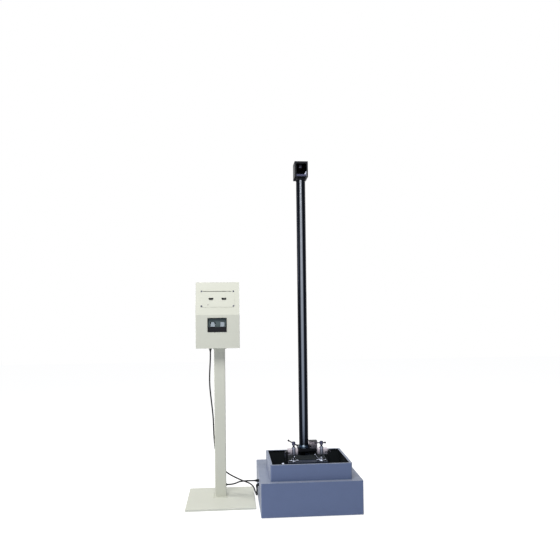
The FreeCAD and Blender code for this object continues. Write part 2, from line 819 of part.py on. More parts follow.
def make_stand():
    half_x = stand_plate_width / 2
    half_y = stand_plate_depth / 2
    plate = rounded_block(plate_x - half_x, plate_x + half_x, plate_y - half_y, plate_y + half_y,
                          0, stand_plate_thickness, stand_plate_corner)
    edges = [e for e in plate.Edges if e.BoundBox.ZMin > stand_plate_thickness - 0.01]
    keep("stand_plate", plate.makeChamfer(1.5, edges))
    x0 = post_x - post_width / 2
    x1 = post_x + post_width / 2
    y0 = post_y - post_depth / 2
    y1 = post_y + post_depth / 2
    outside = rounded_block(x0, x1, y0, y1, stand_plate_thickness, post_top, post_corner)
    inside = rounded_block(x0 + post_wall, x1 - post_wall, y0 + post_wall, y1 - post_wall,
                           stand_plate_thickness, post_top, post_corner - post_wall)
    hole = rod(grommet_radius - 2, (post_x, post_y, grommet_height), (x1 + 1, post_y, grommet_height))
    tube = cut(outside, inside, hole)
    flange = rounded_block(post_x - post_flange_width / 2, post_x + post_flange_width / 2,
                           post_y - post_flange_depth / 2, post_y + post_flange_depth / 2,
                           post_top, box_z, 6.0)
    flange = cut(flange, rod(14.0, (post_x, post_y, post_top), (post_x, post_y, box_z)))
    keep("stand_post", join(tube, flange))
    grommet = turned([(cable_radius, -6), (grommet_radius - 2.1, -6), (grommet_radius - 2.1, 0),
                      (grommet_radius, 0), (grommet_radius, 3), (cable_radius + 1.6, grommet_reach),
                      (cable_radius, grommet_reach)], 0, 0)
    grommet = cut(grommet, rod(cable_radius, (0, 0, -6), (0, 0, -5)))
    grommet.Placement = FreeCAD.Placement(V(x1, post_y, grommet_height), FreeCAD.Rotation(Z, X))
    plug = rod(cable_radius, (x1 - 6, post_y, grommet_height), (x1 + grommet_reach, post_y, grommet_height))
    keep("post_grommet", join(grommet, plug))


def on_slope(shape):
    turn = FreeCAD.Rotation(X, 90 - slope_angle)
    shape.Placement = FreeCAD.Placement(V(box_x, box_front, box_break), turn).multiply(shape.Placement)
    return shape


def slope_block(x0, x1, v0, v1, out0, out1):
    return on_slope(block(x0, x1, v0, v1, out0, out1))


def slope_rod(radius, x, v, out0, out1):
    return on_slope(rod(radius, (x, v, out0), (x, v, out1)))


def make_box():
    half = box_width / 2
    profile = [(box_front, box_z), (box_front, box_break), (box_front + box_lean, box_top),
               (box_back, box_top), (box_back, box_z)]
    outer = side(profile, box_x - half, box_x + half)
    outer = soften(outer, Z, 3.0, lambda p: p.y < box_front + 1)
    w = box_wall
    cos = math.cos(math.radians(slope_angle))
    shift = w / cos - w * math.tan(math.radians(slope_angle))
    inner = side([(box_front + w, box_z + w), (box_front + w, box_break - shift + w / cos * 0.5),
                  (box_front + box_lean + w / cos - w * math.tan(math.radians(slope_angle)), box_top - w),
                  (box_back, box_top - w), (box_back, box_z + w)],
                 box_x - half + w, box_x + half - w)
    shell = cut(outer, inner)
    access = slope_block(-panel_open_half_width, panel_open_half_width,
                         panel_middle - panel_half_height + 8, panel_middle + panel_half_height - 1.5,
                         -8, 1)
    bay_x = box_x - bay_shift
    bay_z0 = box_z + bay_bottom
    bay_z1 = bay_z0 + bay_height
    opening = block(bay_x - bay_half_width + bay_wall, bay_x + bay_half_width - bay_wall,
                    box_front - 1, box_front + 5, bay_z0 + bay_wall, bay_z1 - bay_wall)
    gland = gland_mouth[0], gland_mouth[1]
    outlet = rod(cable_radius + 3, (*gland, box_z - 1), (*gland, box_z + 5))
    duct = rod(12.0, (post_x, post_y, box_z - 1), (post_x, post_y, box_z + 5))
    shell = cut(shell, access, opening, outlet, duct)

    panel = slope_block(-panel_half_width, panel_half_width, panel_middle - panel_half_height,
                        panel_middle + panel_half_height, 0, panel_sheet)
    panel = cut(panel, slope_block(-slot_half_width, slot_half_width,
                                   panel_middle + panel_half_height - 6 - slot_height,
                                   panel_middle + panel_half_height - 6, -1, 9))
    screws = []
    for sx in (-1, 1):
        for sv in (-1, 1):
            x = sx * (panel_half_width - panel_screw_inset)
            v = panel_middle + sv * (panel_half_height - panel_screw_inset)
            panel = cut(panel, slope_rod(2.1, x, v, -1, 5))
            shell = cut(shell, slope_rod(2.1, x, v, -6, 1))
            head = on_slope(join(rod(2.0, (x, v, -5), (x, v, panel_sheet)),
                                 rod(panel_screw_radius, (x, v, panel_sheet), (x, v, panel_sheet + 2))))
            screws.append(head)
    sockets = []
    for sx in (-1, 1):
        x = sx * socket_spacing / 2
        v = panel_middle - 2
        top = socket_top_width / 2
        low = socket_bottom_width / 2
        deep = socket_height / 2
        outline = [(x - low, v - deep), (x + low, v - deep), (x + top, v + deep), (x - top, v + deep)]
        body = soften(plan(outline, -12, panel_sheet + socket_proud), Z, 2.5)
        rim = 2.2
        hollow = [(x - low + rim, v - deep + rim), (x + low - rim, v - deep + rim),
                  (x + top - rim * 1.4, v + deep - rim), (x - top + rim * 1.4, v + deep - rim)]
        body = cut(body, plan(hollow, 0, 20))
        cutter = soften(plan(outline, -12, panel_sheet), Z, 2.5)
        panel = cut(panel, on_slope(cutter))
        sockets.append(on_slope(body))
    v = panel_middle - lamp_drop
    panel = cut(panel, slope_rod(lamp_radius, -lamp_x, v, -1, 4))
    lamp = join(rod(lamp_radius, (-lamp_x, v, -8), (-lamp_x, v, panel_sheet + 0.5)),
                ball(lamp_radius, (-lamp_x, v, panel_sheet + 0.5)))
    keep("control_box", shell)
    keep("front_panel", panel)
    keep("panel_screws", group(*screws))
    keep("panel_sockets", group(*sockets))
    keep("panel_lamp", on_slope(lamp))
    make_bay(bay_x, bay_z0, bay_z1)
    make_rear(half)


def make_bay(bay_x, bay_z0, bay_z1):
    y0 = box_front
    x0 = bay_x - bay_half_width + bay_wall
    x1 = bay_x + bay_half_width - bay_wall
    gap = 0.1
    cup = block(x0 + gap, x1 - gap, y0, y0 + bay_depth, bay_z0 + bay_wall + gap, bay_z1 - bay_wall - gap)
    bezel = block(bay_x - bay_half_width, bay_x + bay_half_width, y0 - bay_wall, y0, bay_z0, bay_z1)
    cup = join(cup, soften(bezel, Y, 3.0))
    hollow = block(x0 + bay_wall, x1 - bay_wall, y0 - 9, y0 + bay_depth - bay_wall,
                   bay_z0 + 2 * bay_wall, bay_z1 - 2 * bay_wall)
    cup = cut(cup, hollow)
    ledge_top = bay_z0 + bay_ledge
    ledge = block(x0 + bay_wall, x1 - bay_wall, y0 + 3, y0 + bay_depth - bay_wall,
                  bay_z0 + 2 * bay_wall, ledge_top)
    keep("switch_bay", join(cup, ledge))
    plate_y0 = y0 + bay_plate_depth
    plate = block(x0 + bay_wall + gap, x1 - bay_wall - gap, plate_y0, plate_y0 + 3, ledge_top,
                  bay_z1 - 2 * bay_wall)
    z0 = ledge_top + 2.0
    z1 = z0 + switch_height
    pivot_y = plate_y0 + 1.5
    for name, x, low, top in (("paddle_switch", bay_x - paddle_x, paddle_bottom_width, paddle_top_width),
                              ("rocker_switch", bay_x + rocker_x, rocker_width, rocker_width)):
        middle = (z0 + z1) / 2
        nose = plate_y0 - switch_thickness
        boat = side([(plate_y0 + 4, middle - 5), (plate_y0 + 4, middle + 5), (plate_y0 - 2, z1),
                     (nose + 3, z1), (nose + 1.5, middle), (nose, z0), (plate_y0 - 2, z0)],
                    x - low / 2, x + low / 2)
        wedge = front([(x - low / 2, z0 - 1), (x + low / 2, z0 - 1), (x + top / 2, z1 + 1),
                       (x - top / 2, z1 + 1)], nose - 2, plate_y0 + 9)
        boat = soften(boat.common(wedge), X, 1.2, lambda p: p.y < nose + 6)
        hole_half = low / 2 + switch_gap
        plate = cut(plate, block(x - hole_half, x + hole_half, plate_y0 - 1, plate_y0 + 5,
                                 z0 - 1, z1 + 1))
        pin = rod(1.5, (x - low / 2 - 3, pivot_y, middle), (x + low / 2 + 3, pivot_y, middle))
        plate = join(plate, rod(3.2, (x - hole_half - 3, pivot_y, middle), (x - hole_half, pivot_y, middle)),
                     rod(3.2, (x + hole_half, pivot_y, middle), (x + hole_half + 3, pivot_y, middle)))
        plate = cut(plate, rod(1.55, (x - hole_half - 2.6, pivot_y, middle),
                               (x + hole_half + 2.6, pivot_y, middle)))
        keep(name, join(boat, pin))
        print(name, "pivot", round(x, 2), round(pivot_y, 2), round(middle, 2))
    keep("switch_plate", plate)


def make_rear(half):
    y0 = box_back
    cover = block(box_x - half, box_x + half, y0, y0 + cover_sheet, box_z, box_top)
    cover = soften(cover, Y, 4.0)
    screws = []
    for sx in (-1, 1):
        for z in (box_z + 14, box_top - 14):
            x = box_x + sx * (half - 10)
            cover = cut(cover, rod(2.1, (x, y0 - 1, z), (x, y0 + 5, z)))
            screws.append(join(rod(2.0, (x, y0 - 6, z), (x, y0 + cover_sheet, z)),
                               rod(3.8, (x, y0 + cover_sheet, z), (x, y0 + cover_sheet + 2.2, z))))
    for step in range(7):
        z = box_top - 70 - 11 * step
        cover = cut(cover, block(box_x - 55, box_x + 55, y0 - 1, y0 + 5, z, z + 3.5))
    keep("rear_cover", cover)
    keep("rear_screws", group(*screws))
    board_y = y0 - standoff
    z0 = box_z + board_level
    z1 = z0 + board_height
    board = block(box_x - board_width / 2, box_x + board_width / 2, board_y - board_sheet, board_y, z0, z1)
    parts = []
    for sx in (-1, 1):
        for z in (z0 + board_hole_inset, z1 - board_hole_inset):
            x = box_x + sx * (board_width / 2 - board_hole_inset)
            parts.append(rod(board_post, (x, board_y, z), (x, y0, z)))
    front_y = board_y - board_sheet
    relay_x = box_x + relay_left
    relay_z = z0 + relay_level
    parts.append(block(relay_x, relay_x + relay_width, front_y - relay_depth, front_y,
                       relay_z, relay_z + relay_height))
    stud_x = box_x + capacitor_x
    stud_z = z0 + capacitor_level
    parts.append(rod(capacitor_radius, (stud_x, front_y, stud_z),
                     (stud_x, front_y - capacitor_length, stud_z)))
    keep("control_board", join(board, *parts))
    core_x = box_x - half + transformer_from_side
    core_y = box_front + transformer_setback
    core_z = box_z + box_wall
    core = block(core_x, core_x + transformer_width, core_y, core_y + transformer_depth,
                 core_z, core_z + transformer_height)
    keep("transformer", soften(core, Y, 4.0))


def make_connections():
    x, y, z = gland_mouth
    gland = turned([(cable_radius + 2.9, 6), (cable_radius + 2.9, 0), (gland_radius + 2, 0),
                    (gland_radius + 2, -7), (gland_radius, -7), (gland_radius, -15),
                    (gland_radius - 2, -19), (cable_radius + 1, -gland_height), (0, -gland_height), (0, 6)],
                   x, y)
    gland.translate(V(0, 0, box_z))
    keep("box_gland", gland)
    face = -cabinet_width / 2
    hole = plug_radius * 0.6 - running_gap
    z = socket_upper_z
    straight = Part.makeCone(plug_radius - 2, cable_radius, plug_length - 12, V(-12, 0, 0), V(-1, 0, 0))
    straight = join(straight, rod(plug_radius, (-12, 0, 0), (0, 0, 0)), rod(hole, (0, 0, 0), (8, 0, 0)))
    straight.translate(V(face, socket_y, z))
    keep("power_plug", straight)
    drop = elbow_drop
    elbow = join(rod(plug_radius, (-6, 0, 0), (0, 0, 0)), rod(hole, (0, 0, 0), (8, 0, 0)),
                 rod(plug_radius - 2, (-elbow_reach, 0, 0), (-5, 0, 0)), ball(plug_radius - 2, (-elbow_reach, 0, 0)),
                 Part.makeCone(plug_radius - 2, cable_radius, drop, V(-elbow_reach, 0, 0), V(0, 0, -1)))
    elbow.translate(V(face, socket_y, socket_lower_z))
    keep("signal_plug", elbow)
    keep("signal_cable", cord(signal_route, cable_radius, "signal_cable"))
    keep("power_cable", cord(power_route, cable_radius, "power_cable"))


make_cabinet()
make_tray()
make_clip()
make_table()
make_bracket()
make_tube()
make_sensor()
make_clamp("left", -1, bar_tip_left, -90.0)
make_clamp("right", 1, bar_tip_right, 180.0)
make_head()
make_stand()
make_box()
make_connections()

# Put the origin on the floor at the middle of the footprint.
left = min(plate_x - stand_plate_width / 2, -cabinet_width / 2)
right = cabinet_width / 2
near = min(-cabinet_depth / 2, plate_y - stand_plate_depth / 2)
far = max(cabinet_depth / 2, plate_y + stand_plate_depth / 2)
shift = V(-(left + right) / 2, -(near + far) / 2, 0)
print("shift", shift.x, shift.y)
print("levels", rest_z, foot_z, tube_top, head_top, box_z, box_break, box_top)
os.makedirs("parts", exist_ok=True)
for name, shape in made.items():
    placed = shape.copy()
    placed.translate(shift)
    placed.exportStep("parts/" + name + ".step")
    flaw = "" if placed.isValid() else "INVALID"
    print(name, len(placed.Solids), round(placed.Volume / 1000, 2), flaw)
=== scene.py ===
# %% [markdown]
# # A falling ball impact tester, dressed for a render
# The steelwork, the tube, the clamps and the control box come from the CAD model as a fixed frame.
# This script sets the camera and the light, gives every piece a material made of nodes, and models
# again the small pieces whose real shape has threads, ribs or knurling. The scene is in metres, with
# the origin on the floor and Z up.

# %% Load the frame
import bpy
import bmesh
import json
import math
from mathutils import Matrix, Vector


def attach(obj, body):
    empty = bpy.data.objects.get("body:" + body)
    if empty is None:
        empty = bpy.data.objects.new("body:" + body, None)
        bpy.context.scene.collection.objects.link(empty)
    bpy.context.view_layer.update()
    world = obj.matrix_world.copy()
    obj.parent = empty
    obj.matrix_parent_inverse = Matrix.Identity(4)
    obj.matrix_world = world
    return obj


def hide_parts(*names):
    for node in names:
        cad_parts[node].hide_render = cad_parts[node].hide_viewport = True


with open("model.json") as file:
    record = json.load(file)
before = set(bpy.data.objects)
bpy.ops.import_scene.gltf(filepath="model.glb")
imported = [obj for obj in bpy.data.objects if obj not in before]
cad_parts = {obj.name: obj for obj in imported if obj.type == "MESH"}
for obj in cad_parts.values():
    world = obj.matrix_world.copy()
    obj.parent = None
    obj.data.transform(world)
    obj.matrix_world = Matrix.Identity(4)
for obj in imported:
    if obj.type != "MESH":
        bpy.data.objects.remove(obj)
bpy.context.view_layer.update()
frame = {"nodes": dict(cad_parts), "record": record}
cad = frame["nodes"]
print("pieces in the frame:", len(cad))

# %% [markdown]
# ## The camera
# The photograph was taken from about 3.6 metres in front of the machine, a little to its left, with the
# lens at about the height of the control box. Yaw, pitch and roll are small turns away from looking
# straight back along +Y. The shift slides the picture in its frame without tilting the uprights.

# %% Camera
def look(yaw, pitch, roll):
    ahead = Vector((math.sin(yaw), math.cos(yaw), 0))
    side = Vector((math.cos(yaw), -math.sin(yaw), 0))
    up = Vector((0, 0, 1))
    aim = ahead * math.cos(pitch) - up * math.sin(pitch)
    lift = up * math.cos(pitch) + ahead * math.sin(pitch)
    right = side * math.cos(roll) + lift * math.sin(roll)
    top = lift * math.cos(roll) - side * math.sin(roll)
    return Matrix((right, top, -aim)).transposed().to_4x4()


CAMERA_PLACE = (-0.2354, -3.6456, 1.1227)
YAW, PITCH, ROLL = 0.0794, -0.0172, -0.0115
camera_data = bpy.data.cameras.new("camera")
camera_data.sensor_width = 36
camera_data.lens = 37.0
camera_data.shift_x = 0.0054
camera_data.shift_y = 0.0607
camera = bpy.data.objects.new("camera", camera_data)
camera.matrix_world = Matrix.Translation(CAMERA_PLACE) @ look(YAW, PITCH, ROLL)
bpy.context.scene.collection.objects.link(camera)
bpy.context.scene.camera = camera
bpy.context.scene.view_settings.view_transform = "Standard"
print("lens", camera_data.lens, "mm")

# %% [markdown]
# ## The floor, the backdrop and the light
# The machine stands on a white floor before a white backdrop. The camera, and whatever shines, should
# see that white, but the machine shouldn't be flooded by it. So the world and the floor ask Light Path
# which kind of ray arrives, and answer with plain white for camera, glossy and transmission rays only.
# The floor keeps a share of real diffuse shading, so that the machine's soft shadow stays on it.

# %% World and floor
ROOM_LIGHT = 0.24
FLOOR_GLOW = 0.92
FLOOR_REACH = 14


def link(tree, start, end):
    tree.links.new(start, end)


def light_path_is_seen(tree):
    path = tree.nodes.new("ShaderNodeLightPath")
    first = tree.nodes.new("ShaderNodeMath")
    first.operation = "MAXIMUM"
    second = tree.nodes.new("ShaderNodeMath")
    second.operation = "MAXIMUM"
    link(tree, path.outputs["Is Camera Ray"], first.inputs[0])
    link(tree, path.outputs["Is Glossy Ray"], first.inputs[1])
    link(tree, first.outputs[0], second.inputs[0])
    link(tree, path.outputs["Is Transmission Ray"], second.inputs[1])
    return second.outputs[0]


world = bpy.data.worlds.new("studio")
bpy.context.scene.world = world
world.use_nodes = True
tree = world.node_tree
tree.nodes.clear()
lit = tree.nodes.new("ShaderNodeBackground")
lit.inputs["Color"].default_value = (0.9, 0.93, 1.0, 1)
lit.inputs["Strength"].default_value = ROOM_LIGHT
seen = tree.nodes.new("ShaderNodeBackground")
seen.inputs["Color"].default_value = (1, 1, 1, 1)
seen.inputs["Strength"].default_value = 1.0
mix = tree.nodes.new("ShaderNodeMixShader")
out = tree.nodes.new("ShaderNodeOutputWorld")
link(tree, light_path_is_seen(tree), mix.inputs[0])
link(tree, lit.outputs[0], mix.inputs[1])
link(tree, seen.outputs[0], mix.inputs[2])
link(tree, mix.outputs[0], out.inputs["Surface"])

bm = bmesh.new()
bmesh.ops.create_grid(bm, x_segments=1, y_segments=1, size=FLOOR_REACH)
floor_mesh = bpy.data.meshes.new("floor")
bm.to_mesh(floor_mesh)
bm.free()
floor = bpy.data.objects.new("floor", floor_mesh)
bpy.context.scene.collection.objects.link(floor)
floor_paint = bpy.data.materials.new("white_floor")
floor_paint.use_nodes = True
tree = floor_paint.node_tree
tree.nodes.clear()
plain = tree.nodes.new("ShaderNodeBsdfDiffuse")
plain.inputs["Color"].default_value = (0.76, 0.78, 0.84, 1)
shade = tree.nodes.new("ShaderNodeBsdfDiffuse")
shade.inputs["Color"].default_value = (0.3, 0.3, 0.3, 1)
glow = tree.nodes.new("ShaderNodeEmission")
glow.inputs["Color"].default_value = (1, 1, 1, 1)
glow.inputs["Strength"].default_value = FLOOR_GLOW
both = tree.nodes.new("ShaderNodeAddShader")
mix = tree.nodes.new("ShaderNodeMixShader")
out = tree.nodes.new("ShaderNodeOutputMaterial")
link(tree, shade.outputs[0], both.inputs[0])
link(tree, glow.outputs[0], both.inputs[1])
link(tree, light_path_is_seen(tree), mix.inputs[0])
link(tree, plain.outputs[0], mix.inputs[1])
link(tree, both.outputs[0], mix.inputs[2])
link(tree, mix.outputs[0], out.inputs["Surface"])
floor_mesh.materials.append(floor_paint)

# %% [markdown]
# Three lamps do the lighting: a wide panel high in front, which lights the fronts and throws the
# control box's soft shadow down its post, a small box overhead for decks and plates, and one on the
# left that lifts the left-hand sides and the strip of deck beside the tray.

# %% Lamps
def soft_box(name, place, target, width, height, watts, colour):
    data = bpy.data.lights.new(name, "AREA")
    data.shape = "RECTANGLE"
    data.size = width
    data.size_y = height
    data.energy = watts
    data.color = colour
    lamp = bpy.data.objects.new(name, data)
    lamp.location = place
    lamp.rotation_euler = (Vector(target) - Vector(place)).to_track_quat("-Z", "Y").to_euler()
    bpy.context.scene.collection.objects.link(lamp)


soft_box("front_panel_lamp", (-0.85, -3.0, 4.3), (-0.2, 0.0, 0.9), 2.4, 2.0, 160, (1.0, 1.0, 0.975))
soft_box("top_box", (0.1, 0.3, 4.2), (0.0, 0.0, 0.0), 1.4, 1.4, 24, (1.0, 1.0, 0.94))
soft_box("left_box", (-3.2, 0.4, 1.6), (0.0, 0.0, 0.4), 1.5, 1.5, 58, (1.0, 1.0, 1.0))

# %% [markdown]
# ## Effects shared by many finishes
# Worn edges, settled dust and a fine grain turn up on most materials, so each is a node group, built
# once and placed with other values in each material. A group only puts out masks and heights. The
# shader itself stays in the material, where a reader can see what the effect changes.

# %% Node groups
def new_group(name, inputs, outputs):
    group = bpy.data.node_groups.new(name, "ShaderNodeTree")
    for label, value in inputs:
        socket = group.interface.new_socket(name=label, in_out="INPUT", socket_type="NodeSocketFloat")
        socket.default_value = value
    for label in outputs:
        group.interface.new_socket(name=label, in_out="OUTPUT", socket_type="NodeSocketFloat")
    return group, group.nodes.new("NodeGroupInput"), group.nodes.new("NodeGroupOutput")


def put(tree, kind, **settings):
    made = tree.nodes.new(kind)
    for key, value in settings.items():
        setattr(made, key, value)
    return made


def sums(tree, operation, first, second, clamp=False):
    made = put(tree, "ShaderNodeMath", operation=operation, use_clamp=clamp)
    for slot_number, value in enumerate((first, second)):
        if isinstance(value, (int, float)):
            made.inputs[slot_number].default_value = value
        else:
            link(tree, value, made.inputs[slot_number])
    return made.outputs[0]


def noise(tree, scale, detail=2.0, source=None):
    made = put(tree, "ShaderNodeTexNoise")
    made.inputs["Detail"].default_value = detail
    if isinstance(scale, (int, float)):
        made.inputs["Scale"].default_value = scale
    else:
        link(tree, scale, made.inputs["Scale"])
    if source is None:
        source = put(tree, "ShaderNodeTexCoord").outputs["Object"]
    link(tree, source, made.inputs["Vector"])
    return made.outputs["Fac"]


EDGE_GAIN = 9.0
CHIP_LEVEL = 0.42
CHIP_GAIN = 6.0
wear_group, ins, outs = new_group(
    "worn_edges", [("Width", 0.0012), ("Amount", 0.5), ("Scale", 40.0)], ["Mask"])
soft = put(wear_group, "ShaderNodeBevel", samples=4)
link(wear_group, ins.outputs["Width"], soft.inputs["Radius"])
facts = put(wear_group, "ShaderNodeNewGeometry")
dot = put(wear_group, "ShaderNodeVectorMath", operation="DOT_PRODUCT")
link(wear_group, soft.outputs[0], dot.inputs[0])
link(wear_group, facts.outputs["True Normal"], dot.inputs[1])
edge = sums(wear_group, "SUBTRACT", 1.0, dot.outputs["Value"], True)
edge = sums(wear_group, "MULTIPLY", edge, EDGE_GAIN, True)
chips = noise(wear_group, ins.outputs["Scale"], 4.0)
chips = sums(wear_group, "SUBTRACT", chips, CHIP_LEVEL, True)
chips = sums(wear_group, "MULTIPLY", chips, CHIP_GAIN, True)
mask = sums(wear_group, "MULTIPLY", edge, chips)
mask = sums(wear_group, "MULTIPLY", mask, ins.outputs["Amount"], True)
link(wear_group, mask, outs.inputs["Mask"])

dust_group, ins, outs = new_group("settled_dust", [("Amount", 0.2), ("Scale", 14.0)], ["Mask"])
facts = put(dust_group, "ShaderNodeNewGeometry")
split = put(dust_group, "ShaderNodeSeparateXYZ")
link(dust_group, facts.outputs["Normal"], split.inputs[0])
upward = sums(dust_group, "POWER", sums(dust_group, "MAXIMUM", split.outputs["Z"], 0.0), 3.0)
patches = noise(dust_group, ins.outputs["Scale"], 5.0)
mask = sums(dust_group, "MULTIPLY", upward, patches)
mask = sums(dust_group, "MULTIPLY", mask, ins.outputs["Amount"], True)
link(dust_group, mask, outs.inputs["Mask"])

grain_group, ins, outs = new_group("fine_grain", [("Scale", 500.0), ("Blend", 0.3)], ["Height", "Tone"])
small = noise(grain_group, ins.outputs["Scale"], 3.0)
large = noise(grain_group, sums(grain_group, "MULTIPLY", ins.outputs["Scale"], 0.02), 3.0)
share = sums(grain_group, "MULTIPLY", sums(grain_group, "SUBTRACT", large, 0.5), ins.outputs["Blend"])
link(grain_group, sums(grain_group, "ADD", small, share), outs.inputs["Height"])
link(grain_group, large, outs.inputs["Tone"])
print("groups:", [g.name for g in bpy.data.node_groups])

# %% [markdown]
# ## One recipe for the finishes
# A finish has a colour that drifts a little from place to place, a roughness that drifts with it, a
# grain in its surface, and perhaps bare edges and dust. The colour that shows at a worn edge is the
# primer or the metal beneath. Values that are the same everywhere, such as metallic or coat, are typed
# straight on the shader. Round metal looks dark near its outline, and enamel looks paler when it is
# seen at a low angle, so a finish can also have a rim colour, a painted reflection, which takes over
# where the surface turns away from the eye. In place of one colour a finish can have a pattern that
# makes its own.

# %% Finish recipe
ROUGH_DRIFT = 0.12
COAT_ROUGHNESS = 0.08


def linear(red, green, blue):
    shares = [v / 255 for v in (red, green, blue)]
    return tuple(((v + 0.055) / 1.055) ** 2.4 if v > 0.04 else v / 12.92 for v in shares)


def blend_colour(tree, factor, first, second):
    made = put(tree, "ShaderNodeMix", data_type="RGBA")
    link(tree, factor, made.inputs[0])
    for socket, value in ((made.inputs[6], first), (made.inputs[7], second)):
        if isinstance(value, tuple):
            socket.default_value = (*value, 1)
        else:
            link(tree, value, socket)
    return made.outputs[2]


def place_group(tree, group, **values):
    made = put(tree, "ShaderNodeGroup", node_tree=group)
    for label, value in values.items():
        made.inputs[label].default_value = value
    return made


def coating(name, colour, rough, metallic=0.0, coat=0.0, grain=500.0, depth=0.00004, drift=0.08,
            worn=0.0, bare=None, dust=0.0, dust_colour=None, round_edges=0.0008, specular=0.5,
            bumps=None, rim=None, painted_rim_reach=0.35):
    material = bpy.data.materials.new(name)
    material.use_nodes = True
    tree = material.node_tree
    shader = tree.nodes["Principled BSDF"]
    shader.inputs["Metallic"].default_value = metallic
    shader.inputs["Coat Weight"].default_value = coat
    shader.inputs["Coat Roughness"].default_value = COAT_ROUGHNESS
    shader.inputs["Specular IOR Level"].default_value = specular
    texture = place_group(tree, grain_group, Scale=grain)
    if callable(colour):
        shown = colour(tree)
    else:
        dark = tuple(v * (1 - drift) for v in colour)
        light = tuple(min(1.0, v * (1 + drift)) for v in colour)
        shown = blend_colour(tree, texture.outputs["Tone"], dark, light)
    # Painted reflection: where the surface turns from the eye, a Layer Weight mask blends the rim colour
    # in, dark on metal and pale on enamel.
    if rim:
        facing = put(tree, "ShaderNodeLayerWeight")
        painted_rim_mask = put(tree, "ShaderNodeMapRange", interpolation_type="SMOOTHSTEP")
        painted_rim_mask.inputs["From Max"].default_value = painted_rim_reach
        link(tree, facing.outputs["Facing"], painted_rim_mask.inputs["Value"])
        shown = blend_colour(tree, painted_rim_mask.outputs["Result"], shown, rim)
    if worn:
        wear = place_group(tree, wear_group, Amount=worn)
        shown = blend_colour(tree, wear.outputs["Mask"], shown, bare)
    if dust:
        film = place_group(tree, dust_group, Amount=dust)
        shown = blend_colour(tree, film.outputs["Mask"], shown, dust_colour)
    link(tree, shown, shader.inputs["Base Color"])
    spread = put(tree, "ShaderNodeMapRange")
    spread.inputs["From Min"].default_value = 0.3
    spread.inputs["From Max"].default_value = 0.7
    spread.inputs["To Min"].default_value = rough * (1 - ROUGH_DRIFT)
    spread.inputs["To Max"].default_value = min(1.0, rough * (1 + ROUGH_DRIFT))
    link(tree, texture.outputs["Tone"], spread.inputs["Value"])
    link(tree, spread.outputs["Result"], shader.inputs["Roughness"])
    relief = put(tree, "ShaderNodeBump")
    relief.inputs["Distance"].default_value = depth
    link(tree, bumps(tree) if bumps else texture.outputs["Height"], relief.inputs["Height"])
    if round_edges:
        rounded = put(tree, "ShaderNodeBevel", samples=4)
        rounded.inputs["Radius"].default_value = round_edges
        link(tree, rounded.outputs[0], relief.inputs["Normal"])
    link(tree, relief.outputs["Normal"], shader.inputs["Normal"])
    return material


# %% [markdown]
# ## Patterns in the surface
# Turned steel has rings round its axis, milled blocks have straight tool marks, the rubber in the tray
# is moulded with small studs, and the winding of the magnet is a stack of wire. Each is a wave or a
# lattice in Object coordinates, fed to the height of the bump. A climb is a colour that changes with
# height, from one level to another.

# %% Patterns
def stripes(scale):
    def make(tree):
        wave = put(tree, "ShaderNodeTexWave", wave_type="BANDS", bands_direction="Z", wave_profile="SIN")
        wave.inputs["Scale"].default_value = scale
        wave.inputs["Distortion"].default_value = 0.0
        link(tree, put(tree, "ShaderNodeTexCoord").outputs["Object"], wave.inputs["Vector"])
        return wave.outputs["Fac"]
    return make


def tool_marks(direction, stretch=900.0):
    def make(tree):
        place = put(tree, "ShaderNodeMapping")
        scale = [6.0, 6.0, 6.0]
        scale["XYZ".index(direction)] = stretch
        place.inputs["Scale"].default_value = scale
        link(tree, put(tree, "ShaderNodeTexCoord").outputs["Object"], place.inputs["Vector"])
        return noise(tree, 1.0, 3.0, place.outputs[0])
    return make


def climb(low, high, colour_low, colour_high):
    def make(tree):
        split = put(tree, "ShaderNodeSeparateXYZ")
        link(tree, put(tree, "ShaderNodeTexCoord").outputs["Object"], split.inputs[0])
        height = put(tree, "ShaderNodeMapRange")
        height.inputs["From Min"].default_value = low
        height.inputs["From Max"].default_value = high
        link(tree, split.outputs["Z"], height.inputs["Value"])
        return blend_colour(tree, height.outputs["Result"], colour_low, colour_high)
    return make


def studs(scale):
    def make(tree):
        cells = put(tree, "ShaderNodeTexVoronoi", feature="F1")
        cells.inputs["Scale"].default_value = scale
        cells.inputs["Randomness"].default_value = 0.0
        link(tree, put(tree, "ShaderNodeTexCoord").outputs["Object"], cells.inputs["Vector"])
        return sums(tree, "SUBTRACT", 0.42, cells.outputs["Distance"], True)
    return make
